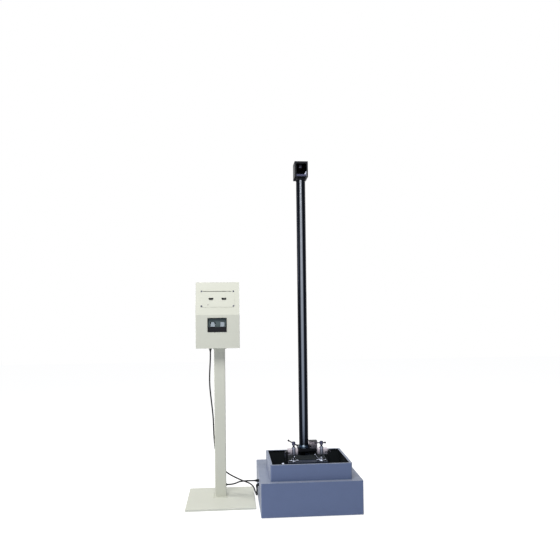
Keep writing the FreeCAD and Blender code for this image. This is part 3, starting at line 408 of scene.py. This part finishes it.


# %% [markdown]
# ## The finishes
# The cabinet and tray are sprayed in a slate blue enamel, the stand in a warm cream. The colours below
# are written as they look in plain light, and turned into the linear values that the shader wants.
# Some of them also carry painted light, a painted highlight, reflection or shade, noted beside them.

# %% Finishes
looks = {
    # The rim colour is a painted sheen: the enamel turns paler where it is seen at a low angle.
    "slate_enamel": coating("slate_enamel", linear(100, 114, 148), 0.45, grain=650, depth=0.00003,
                            drift=0.06, worn=0.5, bare=linear(160, 166, 182), dust=0.12,
                            dust_colour=linear(150, 156, 172), round_edges=0.0016, specular=0.2,
                            rim=linear(131, 139, 159), painted_rim_reach=0.6),
    "cream_enamel": coating("cream_enamel", linear(212, 213, 201), 0.5, grain=700, depth=0.00004,
                            drift=0.02, worn=0.35, bare=linear(186, 183, 170), dust=0.08,
                            dust_colour=linear(205, 203, 192), round_edges=0.0012, specular=0.25),
    "black_enamel": coating("black_enamel", linear(20, 22, 27), 0.42, grain=600, depth=0.00003,
                            worn=0.35, bare=linear(95, 97, 104), specular=0.12),
    "black_casting": coating("black_casting", linear(20, 22, 28), 0.55, grain=260, depth=0.00016,
                             worn=0.25, bare=linear(80, 82, 88), specular=0.12),
    # Painted highlight: the pale metallic base shows as a bright band where the tube faces the eye, the
    # rim colour paints its sides dark, and the climb makes this painted highlight fade from the top down
    # to the foot.
    "tube_black": coating("tube_black", climb(0.4, 2.0, linear(112, 122, 138), linear(156, 161, 170)),
                          0.3, metallic=1.0, grain=900, depth=0.000004, rim=linear(14, 17, 24),
                          painted_rim_reach=0.075),
    # Painted highlight: the pale metallic base shows as a bright band facing the eye, and the dark rim
    # colour is a painted reflection on the collar's sides.
    "collar_steel": coating("collar_steel", linear(126, 140, 154), 0.3, metallic=1.0, depth=0.00002,
                            bumps=stripes(420.0), rim=linear(30, 42, 58), painted_rim_reach=0.12),
    "table_steel": coating("table_steel", linear(45, 51, 66), 0.5, metallic=0.2, grain=800,
                           depth=0.00002, worn=0.3, bare=linear(120, 122, 132),
                           bumps=tool_marks("X", 700.0), specular=0.15),
    # Painted shade and highlight: the climb darkens this finish below 318 mm and lightens it up to 352
    # mm, a painted shade at the blocks' foot and a painted highlight on their tops.
    "machined_alloy": coating("machined_alloy",
                              climb(0.318, 0.352, linear(118, 118, 130), linear(196, 188, 196)),
                              0.34, metallic=1.0, depth=0.00003, bumps=tool_marks("Z")),
    # The rim colour is a painted reflection that darkens the outline of the round parts.
    "bright_steel": coating("bright_steel", linear(158, 163, 178), 0.38, metallic=1.0, depth=0.000006,
                            drift=0.03, round_edges=0.0004, rim=linear(70, 76, 92), painted_rim_reach=0.7),
    # The rim colour is a painted reflection that darkens the outline of the round parts.
    "spindle_steel": coating("spindle_steel",
                             climb(0.366, 0.384, linear(132, 136, 152), linear(66, 68, 88)),
                             0.34, metallic=1.0, depth=0.00002, bumps=tool_marks("Z"),
                             round_edges=0.0004, rim=linear(34, 38, 54)),
    # The rim colour is a painted reflection that darkens the outline of the round parts.
    "dark_steel": coating("dark_steel", linear(46, 46, 56), 0.34, metallic=0.9, grain=900, depth=0.00002,
                          worn=0.3, bare=linear(120, 120, 130), round_edges=0.0004,
                          rim=linear(20, 20, 26), painted_rim_reach=0.5),
    "zinc_steel": coating("zinc_steel", linear(150, 150, 146), 0.36, metallic=0.9, grain=1200,
                          depth=0.00002, drift=0.12, round_edges=0.0003),
    "black_rubber": coating("black_rubber", linear(32, 36, 39), 0.85, depth=0.0006, bumps=studs(90.0),
                            specular=0.08),
    "black_plastic": coating("black_plastic", linear(20, 21, 26), 0.5, grain=1400, depth=0.00003,
                             specular=0.2),
    "grey_plastic": coating("grey_plastic", linear(88, 100, 102), 0.55, grain=1400, depth=0.00003,
                            drift=0.05, specular=0.2),
    "pale_plastic": coating("pale_plastic", linear(160, 170, 178), 0.4, grain=1600, depth=0.00001,
                            drift=0.02, round_edges=0.0006, specular=0.3),
    "lamp_lens": coating("lamp_lens", linear(140, 130, 128), 0.15, coat=0.6, grain=1600, depth=0.00001),
    "board_green": coating("board_green", linear(36, 92, 58), 0.3, coat=0.3, grain=900, depth=0.00004),
    "coil_winding": coating("coil_winding", linear(150, 84, 44), 0.3, metallic=1.0, depth=0.0002,
                            bumps=stripes(500.0), round_edges=0.0),
    "cable_jacket": coating("cable_jacket", linear(26, 26, 31), 0.55, grain=900, depth=0.00002,
                            round_edges=0.0, specular=0.15),
}
finish_of = {part["node"]: part["material_slot"] for part in frame["record"]["subparts"]}
for name, material_slot in finish_of.items():
    mesh = cad[name].data
    mesh.materials.clear()
    mesh.materials.append(looks[material_slot])
print("finishes:", len(looks))

# %% [markdown]
# ## Tools for the modelled pieces
# The modelled pieces are drawn in millimetres from the middle of the cabinet's footprint, as on a
# workshop drawing. `add_piece` moves them to the frame's own origin, turns them into metres, points
# their faces outwards, and tells the frame which body they move with and which solids they stand for.
# Round things are turned, as on a lathe, and bent rods are drawn through a row of circles.

# %% Modelling tools
TO_FRAME = Matrix.Translation((0.225, -0.021, 0)) @ Matrix.Scale(0.001, 4)


def add_piece(name, bm, slot, body="machine", stands_for=(), sharp=35.0):
    bmesh.ops.remove_doubles(bm, verts=bm.verts[:], dist=0.0005)
    bmesh.ops.recalc_face_normals(bm, faces=bm.faces[:])
    bmesh.ops.transform(bm, matrix=TO_FRAME, verts=bm.verts[:])
    mesh = bpy.data.meshes.new(name)
    bm.to_mesh(mesh)
    bm.free()
    mesh.shade_smooth()
    mesh.set_sharp_from_angle(angle=math.radians(sharp))
    mesh.materials.append(looks[slot])
    piece = bpy.data.objects.new(name, mesh)
    bpy.context.scene.collection.objects.link(piece)
    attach(piece, body)
    if stands_for:
        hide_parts(*stands_for)
    print(name, len(mesh.polygons), "faces")


def combine(*shapes):
    whole = bmesh.new()
    for shape in shapes:
        carrier = bpy.data.meshes.new("carrier")
        shape.to_mesh(carrier)
        shape.free()
        whole.from_mesh(carrier)
        bpy.data.meshes.remove(carrier)
    return whole


def turned(outline, place=(0, 0, 0), direction=(0, 0, 1), steps=48):
    bm = bmesh.new()
    points = [bm.verts.new((r, 0, h)) for r, h in outline]
    for first, second in zip(points, points[1:]):
        bm.edges.new((first, second))
    bmesh.ops.spin(bm, geom=bm.verts[:] + bm.edges[:], cent=(0, 0, 0), axis=(0, 0, 1),
                   angle=math.tau, steps=steps, use_merge=True)
    bmesh.ops.remove_doubles(bm, verts=bm.verts[:], dist=0.0005)
    lean = Vector((0, 0, 1)).rotation_difference(Vector(direction)).to_matrix().to_4x4()
    bmesh.ops.transform(bm, matrix=Matrix.Translation(place) @ lean, verts=bm.verts[:])
    return bm


def arc(middle_r, middle_h, radius, start, end, count):
    turns = [math.radians(start + (end - start) * i / count) for i in range(count + 1)]
    return [(middle_r + radius * math.cos(t), middle_h + radius * math.sin(t)) for t in turns]


def drawn(stations, steps=20, closed=False):
    bm = bmesh.new()
    rings = []
    first_way = (stations[1][0] - stations[0][0]).normalized()
    side = Vector((1, 0, 0)) if abs(first_way.x) < 0.9 else Vector((0, 1, 0))
    last = len(stations) - 1
    for number, (point, radius) in enumerate(stations):
        before = stations[number - 1][0] if number or closed else point
        after = stations[(number + 1) % (last + 1)][0] if number < last or closed else point
        ahead = (after - before).normalized()
        side = (side - ahead * side.dot(ahead)).normalized()
        frame_here = Matrix((side, ahead.cross(side), ahead)).transposed().to_4x4()
        ring = bmesh.ops.create_circle(bm, radius=radius, segments=steps,
                                       matrix=Matrix.Translation(point) @ frame_here)["verts"]
        rings.append(ring)
    pairs = list(zip(rings, rings[1:])) + ([(rings[-1], rings[0])] if closed else [])
    for first, second in pairs:
        both = set(first) | set(second)
        loops = [e for e in bm.edges if e.is_wire or len(e.link_faces) == 1]
        loops = [e for e in loops if e.verts[0] in both and e.verts[1] in both]
        bmesh.ops.bridge_loops(bm, edges=loops)
    if not closed:
        for ring in (rings[0], rings[-1]):
            bm.faces.new(ring)
    return bm


def bar(start, end, radius):
    start, end = Vector(start), Vector(end)
    length = (end - start).length
    return turned([(0, 0), (radius, 0), (radius, length), (0, length)], start, end - start, 24)


def cuboid(low, high):
    bm = bmesh.new()
    low, high = Vector(low), Vector(high)
    bmesh.ops.create_cube(bm, size=1, matrix=Matrix.Translation((low + high) / 2)
                          @ Matrix.Diagonal((*(high - low), 1)))
    return bm


def copy_of(node):
    bm = bmesh.new()
    bm.from_mesh(cad[node].data)
    bmesh.ops.remove_doubles(bm, verts=bm.verts[:], dist=0.000001)
    bmesh.ops.transform(bm, matrix=TO_FRAME.inverted(), verts=bm.verts[:])
    return bm


# %% [markdown]
# ## The two cables
# Both cables are rubber-covered leads 9 mm thick. The signal cable is limp. It comes out of the gland
# under the control box, runs down behind the post, crosses to the cabinet, and dips before it climbs
# into its elbow plug. The power cable is a little stiffer. It leaves the post's grommet and climbs
# gently to its plug. Each is one smooth spline along its whole route, so that it bends as a cable does.

# %% Cables
CABLE_DIAMETER = 0.009


def cable(name, route, node):
    curve = bpy.data.curves.new(name, "CURVE")
    curve.dimensions = "3D"
    curve.bevel_depth = CABLE_DIAMETER / 2
    curve.bevel_resolution = 5
    curve.resolution_u = 8
    curve.use_fill_caps = True
    spline = curve.splines.new("NURBS")
    spline.points.add(len(route) - 1)
    for point, place in zip(spline.points, route):
        point.co = (*(TO_FRAME @ Vector(place)), 1)
    spline.order_u = 3
    spline.use_endpoint_u = True
    curve.materials.append(looks["cable_jacket"])
    lead = bpy.data.objects.new(name, curve)
    bpy.context.scene.collection.objects.link(lead)
    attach(lead, "machine")
    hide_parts(node)
    print(name, len(route), "points")


signal_points = [
    (-598, 152, 948), (-598, 152, 905), (-602, 155, 845), (-605, 160, 786), (-605, 164, 727),
    (-600, 169, 668), (-594, 175, 610), (-588, 182, 552), (-584, 190, 494), (-583, 197, 436),
    (-581, 202, 379), (-577, 204, 323), (-569, 205, 270), (-554, 205, 221), (-531, 204, 178),
    (-500, 202, 147), (-465, 198, 126), (-431, 191, 110), (-400, 180, 98), (-371, 165, 91),
    (-347, 148, 84), (-331, 125, 75), (-324, 98, 67), (-321, 69, 62), (-318, 39, 59),
    (-315, 9, 57), (-313, -20, 59), (-313, -46, 69), (-313, -60, 90), (-313, -60, 114)]
power_points = [
    (-496, 156, 81), (-474, 156, 81), (-452, 148, 87), (-435, 131, 97), (-427, 108, 107),
    (-421, 86, 115), (-416, 64, 122.5), (-409, 42, 129), (-403.5, 21, 135.5), (-396, 0, 142),
    (-390, -21, 148), (-379, -40, 154), (-363, -54, 158), (-345, -60, 159), (-328, -60, 159)]
cable("signal_lead", signal_points, "signal_cable")
cable("power_lead", power_points, "power_cable")

# %% [markdown]
# ## Glands, plugs and the grommet
# Where a cable enters a housing it is held by something soft that stops it from kinking. The gland
# under the control box has a hexagonal nut and a fluted nose. The two plugs are rubber mouldings with
# ribs that taper towards the cable, and the grommet in the post is a rounded ring with a short sleeve.

# %% Cable fittings
GLAND_X, GLAND_Y = -598, 152
SOCKET_Y = -60
UPPER_PLUG_Z, LOWER_PLUG_Z = 159, 134
STUB_RADIUS = 5.3
STUB_END = -292.2


def ribbed(start_radius, end_radius, length, ribs):
    outline = []
    for step in range(ribs):
        near = step / ribs
        far = (step + 0.62) / ribs
        r0 = start_radius + (end_radius - start_radius) * near
        r1 = start_radius + (end_radius - start_radius) * far
        outline += [(r0, length * near), (r1, length * far), (r1 - 1.1, length * (far + 0.06)),
                    (r1 - 1.2, length * (step + 0.92) / ribs)]
    return outline + [(end_radius, length)]


gland_nut = bmesh.new()
bmesh.ops.create_cone(gland_nut, segments=6, radius1=10.9, radius2=10.9, depth=7, cap_ends=True,
                      matrix=Matrix.Translation((GLAND_X, GLAND_Y, 968.5)))
bmesh.ops.bevel(gland_nut, geom=gland_nut.edges[:], offset=0.6, segments=2, profile=0.5, affect="EDGES",
                material=-1)
gland_nose = turned([(0, 0), (7.4, 0), (7.4, 6), (9, 7), (9, 14), (8.6, 15), (8.6, 17), (7.6, 19),
                     (6.2, 23), (5.5, 30), (0, 30)], (GLAND_X, GLAND_Y, 978), (0, 0, -1), 40)
add_piece("cable_gland", combine(gland_nut, gland_nose), "black_plastic", stands_for=["box_gland"])

sleeve = turned([(0, -13), (9, -13), (9, -10.5), (8.2, -9.8), (8.2, -2.2), (9, -1.5), (9, 0), (8.2, 1),
                 *[(r, h + 1) for r, h in ribbed(8.2, 5.2, 14, 4)], (4.8, 16), (0, 16)],
                (-312, SOCKET_Y, UPPER_PLUG_Z), (-1, 0, 0), 36)
stub = bar((-306, SOCKET_Y, UPPER_PLUG_Z), (STUB_END, SOCKET_Y, UPPER_PLUG_Z), STUB_RADIUS)
add_piece("power_plug_body", combine(sleeve, stub), "black_rubber", stands_for=["power_plug"])

elbow_points = [(-300, LOWER_PLUG_Z), (-305, LOWER_PLUG_Z), (-309, 133.2), (-311.8, 131.2),
                (-313, 128), (-313, 125)]
elbow_body = drawn([(Vector((x, SOCKET_Y, z)), 7.0) for x, z in elbow_points], 28)
elbow_base = turned([(0, -1), (8.9, -1), (8.9, 4), (8.2, 5.2), (6, 5.8), (0, 5.8)],
                    (-301, SOCKET_Y, LOWER_PLUG_Z), (-1, 0, 0), 36)
elbow_tail = turned([(0, 0), (7, 0), *ribbed(6.9, 5.2, 12, 3), (4.8, 12.5), (0, 12.5)],
                    (-313, SOCKET_Y, 126.6), (0, 0, -1), 32)
elbow_stub = bar((-301, SOCKET_Y, LOWER_PLUG_Z), (STUB_END, SOCKET_Y, LOWER_PLUG_Z), STUB_RADIUS)
add_piece("signal_plug_body", combine(elbow_body, elbow_base, elbow_tail, elbow_stub), "black_rubber",
          stands_for=["signal_plug"])

ring = turned([(4.3, -5.5), (5.8, -5.5), (5.8, -0.2), (7.2, 0), *arc(6.2, 1.6, 1.8, -60, 90, 6),
               (6.1, 7), (4.3, 7)], (-503, 156, 81), (1, 0, 0), 36)
fill = bar((-508.5, 156, 81), (-496.2, 156, 81), 4.45)
add_piece("post_cable_ring", combine(ring, fill), "black_rubber", stands_for=["post_grommet"])

# %% [markdown]
# ## The steel ball
# The ball is a 50.8 mm bearing ball. It rests on the rubber under the table, where it lands.

# %% Ball
TUBE_Y = 95
BALL_DIAMETER = 50.8
LINING_TOP = 208.3
bm = bmesh.new()
bmesh.ops.create_uvsphere(bm, u_segments=64, v_segments=32, radius=BALL_DIAMETER / 2,
                          matrix=Matrix.Translation((0, TUBE_Y, LINING_TOP + BALL_DIAMETER / 2)))
add_piece("drop_ball", bm, "bright_steel", "ball", ["steel_ball"], 60)

# %% [markdown]
# ## The clamps
# Each clamp works like a small vice. A threaded spindle runs through the block, a cross handle with
# ball ends slides through its head, and the spindle's lower end turns in a presser foot with two round
# tips. A ring with a cranked lever sits on the foot's shoulder. The thread is a real helix: a small
# ridge that is spun round the spindle while it climbs, in two starts, over a core. The handle and
# the feet are turned, as they would be on a lathe. The spindle runs in a round bush that stands proud
# of the block's face and top.

# %% Clamp parts
AXIS_X, AXIS_Y = 86, -92
SCREW_END, THREAD_FOOT, THREAD_TOP, HEAD_BASE = 280.6, 300.6, 375, 376.01
JOURNAL_RADIUS, CORE_RADIUS, CREST_RADIUS = 5, 6.1, 6.97
LEAD, STARTS, STEPS_PER_TURN = 5.0, 2, 28
BLOCK_INNER, BLOCK_OUTER = 60, 124
BLOCK_FRONT, BLOCK_BACK = -99, -69
BLOCK_LOW, BLOCK_TOP = 317.02, 354
HANDLE_Z, HANDLE_HALF, HANDLE_SHIFT = 387, 30, 6.5
ROD_RADIUS, BALL_RADIUS = 3.5, 6.0
FOOT_BASE, ARM_RADIUS, TIP_RADIUS, TIP_REACH = 276.3, 3.8, 5.5, 25
LEVER_Z, LEVER_FLAT, LEVER_REACH, LEVER_RISE = 290.35, 22, 40, 24
LEVER_THIN, BEND_RADIUS = 2.8, 7.0


def thread(core, outside, low, high, lead):
    shapes = []
    for start in range(STARTS):
        bm = bmesh.new()
        offset = lead / STARTS * start
        ridge = [bm.verts.new(p) for p in ((core - 0.1, 0, low + offset),
                                           (outside, 0, low + offset + 0.75),
                                           (outside, 0, low + offset + 1.05),
                                           (core - 0.1, 0, low + offset + 1.8))]
        for first, second in zip(ridge, ridge[1:]):
            bm.edges.new((first, second))
        turns = (high - low - offset - 2.2) / lead
        bmesh.ops.spin(bm, geom=bm.verts[:] + bm.edges[:], cent=(0, 0, 0), axis=(0, 0, 1),
                       dvec=(0, 0, lead / STEPS_PER_TURN), angle=math.tau * turns,
                       steps=int(STEPS_PER_TURN * turns), use_merge=False)
        shapes.append(bm)
    return combine(*shapes)


def dumbbell_outline(half, rod_radius, ball_radius):
    reach = math.sqrt(ball_radius ** 2 - rod_radius ** 2)
    angle = math.degrees(math.asin(rod_radius / ball_radius))
    left = arc(0, -half, ball_radius, -90, 90 - angle, 14)
    right = [(r, -h) for r, h in reversed(left)]
    return left + [(rod_radius, -half + reach + 1), (rod_radius, half - reach - 1)] + right


def spindle(name, axis_x):
    head = copy_of("clamp_screw_" + name)
    bmesh.ops.bisect_plane(head, geom=head.verts[:] + head.edges[:] + head.faces[:], dist=0.001,
                           plane_co=(axis_x, AXIS_Y, HEAD_BASE), plane_no=(0, 0, 1), clear_inner=True)
    core = turned([(0, SCREW_END), (JOURNAL_RADIUS, SCREW_END), (JOURNAL_RADIUS, THREAD_FOOT),
                   (CORE_RADIUS, THREAD_FOOT), (CORE_RADIUS, 374.6), (7, 375.4), (7, HEAD_BASE + 0.01),
                   (11, HEAD_BASE + 0.01)], (axis_x, AXIS_Y, 0))
    helix = thread(CORE_RADIUS, CREST_RADIUS, THREAD_FOOT + 0.3, THREAD_TOP, LEAD)
    bmesh.ops.translate(helix, verts=helix.verts[:], vec=(axis_x, AXIS_Y, 0))
    add_piece("spindle_" + name, combine(head, core, helix), "spindle_steel", "screw_" + name,
              ["clamp_screw_" + name], 30)


def jaw_block(name, axis_x):
    side = 1 if axis_x > 0 else -1
    ends_x = sorted((BLOCK_INNER * side, BLOCK_OUTER * side))
    body = cuboid((ends_x[0], BLOCK_FRONT, BLOCK_LOW), (ends_x[1], BLOCK_BACK, BLOCK_TOP))
    top_edges = [e for e in body.edges if all(v.co.z > BLOCK_TOP - 1 for v in e.verts)]
    inner_edges = [e for e in body.edges if abs(e.verts[0].co.x - e.verts[1].co.x) < 0.1
                   and abs(e.verts[0].co.x) < BLOCK_INNER + 1
                   and abs(e.verts[0].co.z - e.verts[1].co.z) > 1]
    bmesh.ops.bevel(body, geom=top_edges + inner_edges, offset=3.0, segments=3, profile=0.6,
                    affect="EDGES", material=-1)
    add_piece("jaw_block_" + name, body, "machined_alloy", stands_for=["clamp_block_" + name])


def bush(name, axis_x):
    shape = turned([(7.1, 317), (12, 317), (12.6, 317.6), (12.6, 352), (11.8, 353), (11.4, 362),
                    (10.4, 364), (7.6, 364), (7.1, 363.5), (7.1, 317)], (axis_x, AXIS_Y, 0))
    add_piece("spindle_bush_" + name, shape, "spindle_steel", stands_for=["clamp_block_" + name])


def cross_handle(name, axis_x, tilt):
    lean = math.radians(tilt)
    run = Vector((-math.cos(lean), 0, math.sin(lean)))
    middle = Vector((axis_x, AXIS_Y, HANDLE_Z)) + run * HANDLE_SHIFT
    shape = turned(dumbbell_outline(HANDLE_HALF, ROD_RADIUS, BALL_RADIUS), middle, run, 32)
    add_piece("cross_handle_" + name, shape, "dark_steel", "handle_" + name, ["clamp_handle_" + name])


def presser_foot(name, axis_x):
    base = (axis_x, AXIS_Y, FOOT_BASE)
    hub = turned([(0, 0), (9.8, 0), (10.6, 0.4), (11, 1.2), (11, 10), (10, 11), (8, 11), (8, 17.5),
                  (7.2, 22.5), (6.4, 24), (5.3, 24), (5.05, 23.7), (5.05, 4), (0, 4)], base)
    reach = math.sqrt(TIP_RADIUS ** 2 - ARM_RADIUS ** 2)
    angle = math.degrees(math.asin(ARM_RADIUS / TIP_RADIUS))
    outline = [(0, 7), (5.2, 7), (5.0, 11), (4.1, 14), (ARM_RADIUS, 17),
               (ARM_RADIUS, TIP_REACH - 0.5 - reach), *arc(0, TIP_REACH, TIP_RADIUS, angle - 90, 90, 14)]
    arms = [turned(outline, (axis_x, AXIS_Y, FOOT_BASE + TIP_RADIUS), (way, 0, 0), 32) for way in (-1, 1)]
    flare = turned([(0, 0.2), (14.2, 0.2), (15, 1.0), (14.4, 3.4), (11.6, 7.6), (10.4, 10.2), (0, 10.2)],
                   base)
    add_piece("presser_foot_" + name, combine(hub, flare, *arms), "bright_steel", "foot_" + name,
              ["clamp_foot_" + name])


def swing_lever(name, axis_x, lever_turn):
    ring = turned([(8.05, 287.7), (12.4, 287.6), (13, 288.2), (13, 292.1), (12, 293.1), (8.4, 293.1),
                   (8.05, 292.8), (8.05, 287.7)])
    rise = math.atan2(LEVER_RISE, LEVER_REACH - LEVER_FLAT)
    stations = [(Vector((x, 0, LEVER_Z)), LEVER_THIN) for x in (10.5, 15)]
    reach = BEND_RADIUS * math.tan(rise / 2)
    for step in range(9):
        turn = rise * step / 8
        place = Vector((LEVER_FLAT - reach + BEND_RADIUS * math.sin(turn), 0,
                        LEVER_Z + BEND_RADIUS * (1 - math.cos(turn))))
        stations.append((place, LEVER_THIN + step / 8))
    tip = Vector((LEVER_REACH, 0, LEVER_Z + LEVER_RISE))
    stations.append((tip - Vector((math.cos(rise), 0, math.sin(rise))) * 2, 3.6))
    arm = drawn(stations, 20)
    knob = bmesh.new()
    bmesh.ops.create_uvsphere(knob, u_segments=28, v_segments=18, radius=4.9,
                              matrix=Matrix.Translation(tip))
    lever = combine(ring, arm, knob)
    bmesh.ops.rotate(lever, verts=lever.verts[:], cent=(0, 0, 0),
                     matrix=Matrix.Rotation(math.radians(lever_turn), 3, "Z"))
    bmesh.ops.translate(lever, verts=lever.verts[:], vec=(axis_x, AXIS_Y, 0))
    add_piece("swing_lever_" + name, lever, "bright_steel", "lever_" + name, ["clamp_lever_" + name])


def clamp(name, axis_x, tilt, lever_turn):
    spindle(name, axis_x)
    jaw_block(name, axis_x)
    bush(name, axis_x)
    cross_handle(name, axis_x, tilt)
    presser_foot(name, axis_x)
    swing_lever(name, axis_x, lever_turn)


clamp("left", -AXIS_X, 30, -90)
clamp("right", AXIS_X, 0, 180)

# %% [markdown]
# ## Small turned parts with knurling
# The four thumb screws that hold the panel and the thumb screw under the head have knurled rims, so
# that fingers can grip them. A knurled rim starts as a turned disc. Every other line of points round
# its side is then pressed in a little, which leaves fine teeth. The panel leans back, so its parts are
# drawn flat and tipped onto the slope. The sensor beside the tube has a small round port.

# %% Knurled screws and the sensor's port
SLOPE_FOOT = (-547, 40, 1184)
SLOPE_SETBACK, SLOPE_RISE = 72, 212
SLOPE = (Matrix.Translation(SLOPE_FOOT)
         @ Matrix.Rotation(math.pi / 2 - math.atan2(SLOPE_SETBACK, SLOPE_RISE), 4, "X"))
SCREW_X, SCREW_LOW, SCREW_HIGH = 101.5, 59.5, 160.5
HEAD_SCREW_X, HEAD_SCREW_Z = -36.3, 2060.5
SENSOR_FACE = (41, 75, 331)


def knurled(radius, depth, height, teeth, soft=0.4):
    bm = turned([(0, 0), (radius - soft, 0), (radius, soft), (radius, height - soft),
                 (radius - soft, height), (0, height)], steps=teeth * 2)
    rim = [v for v in bm.verts if v.co.xy.length > radius - 0.01]
    dents = [v for v in rim if round(math.atan2(v.co.y, v.co.x) / (math.tau / teeth / 2)) % 2]
    small = (radius - depth) / radius
    bmesh.ops.scale(bm, vec=(small, small, 1), verts=dents)
    return bm


screws = []
for side_x in (-SCREW_X, SCREW_X):
    for along in (SCREW_LOW, SCREW_HIGH):
        grip = knurled(5.6, 0.45, 2.0, 22)
        cap = turned([(0, 2.0), (3.6, 2.0), (3.2, 2.5), (0, 2.6)], steps=24)
        shank = turned([(0, -6.5), (2, -6.5), (2, 0.1), (0, 0.1)], steps=20)
        whole = combine(grip, cap, shank)
        bmesh.ops.transform(whole, verts=whole.verts[:],
                            matrix=SLOPE @ Matrix.Translation((side_x, along, 1.5)))
        screws.append(whole)
add_piece("panel_thumb_screws", combine(*screws), "dark_steel", stands_for=["panel_screws"], sharp=30)

port = turned([(0, 0), (5.5, 0), (5.5, 1.5), (4.8, 2.2), (3.5, 2.2), (3.2, 0.8), (0, 0.8)],
              SENSOR_FACE, (0, -1, 0), 36)
add_piece("sensor_port", port, "black_plastic")

grip = knurled(8.5, 0.6, 12.0, 32, 0.8)
boss = turned([(0, -6), (2.5, -6), (2.5, 0.2), (0, 0.2)], steps=24)
whole = combine(grip, boss)
bmesh.ops.rotate(whole, verts=whole.verts[:], cent=(0, 0, 0),
                 matrix=Matrix.Rotation(-math.pi / 2, 3, "Y"))
bmesh.ops.translate(whole, verts=whole.verts[:], vec=(HEAD_SCREW_X, TUBE_Y, HEAD_SCREW_Z))
add_piece("knurled_thumb_screw", whole, "dark_steel", "head_thumb_screw", ["head_knob"], 30)

# %% [markdown]
# ## Contacts in the sockets and the weld bead on the plate
# Each D-shaped socket has two rows of bright pins in its hollow, five over four. The bead is a row of
# small overlapping ripples. Its corners are those of the flange on top of the post, 90 mm square, so it
# lies on the plate outside the post's own foot, which is 72 by 50 mm.

# %% Contacts and weld
SOCKET_X = 41
PIN_ROWS = ((110.2, 5), (105.8, 4))
PIN_PITCH = 3.4
BEAD_Z = 12.6
RIPPLES_PER_SIDE = 34
pins = []
for side_x in (-SOCKET_X, SOCKET_X):
    for row, count in PIN_ROWS:
        for number in range(count):
            across = (number - (count - 1) / 2) * PIN_PITCH
            pin = turned([(0, -0.5), (0.7, -0.5), (0.7, 2.6), (0.4, 3.2), (0, 3.3)], steps=10)
            bmesh.ops.transform(pin, verts=pin.verts[:],
                                matrix=SLOPE @ Matrix.Translation((side_x + across, row, 0)))
            pins.append(pin)
add_piece("socket_contacts", combine(*pins), "zinc_steel")

path = []
corners = [(-584, 111), (-494, 111), (-494, 201), (-584, 201)]
for number, corner in enumerate(corners):
    start, end = Vector((*corner, BEAD_Z)), Vector((*corners[(number + 1) % 4], BEAD_Z))
    for step in range(RIPPLES_PER_SIDE):
        path.append(start.lerp(end, step / RIPPLES_PER_SIDE))
stations = [(point, 2.6 if number % 2 else 1.9) for number, point in enumerate(path)]
add_piece("weld_bead", drawn(stations, 8, closed=True), "cream_enamel", sharp=60)
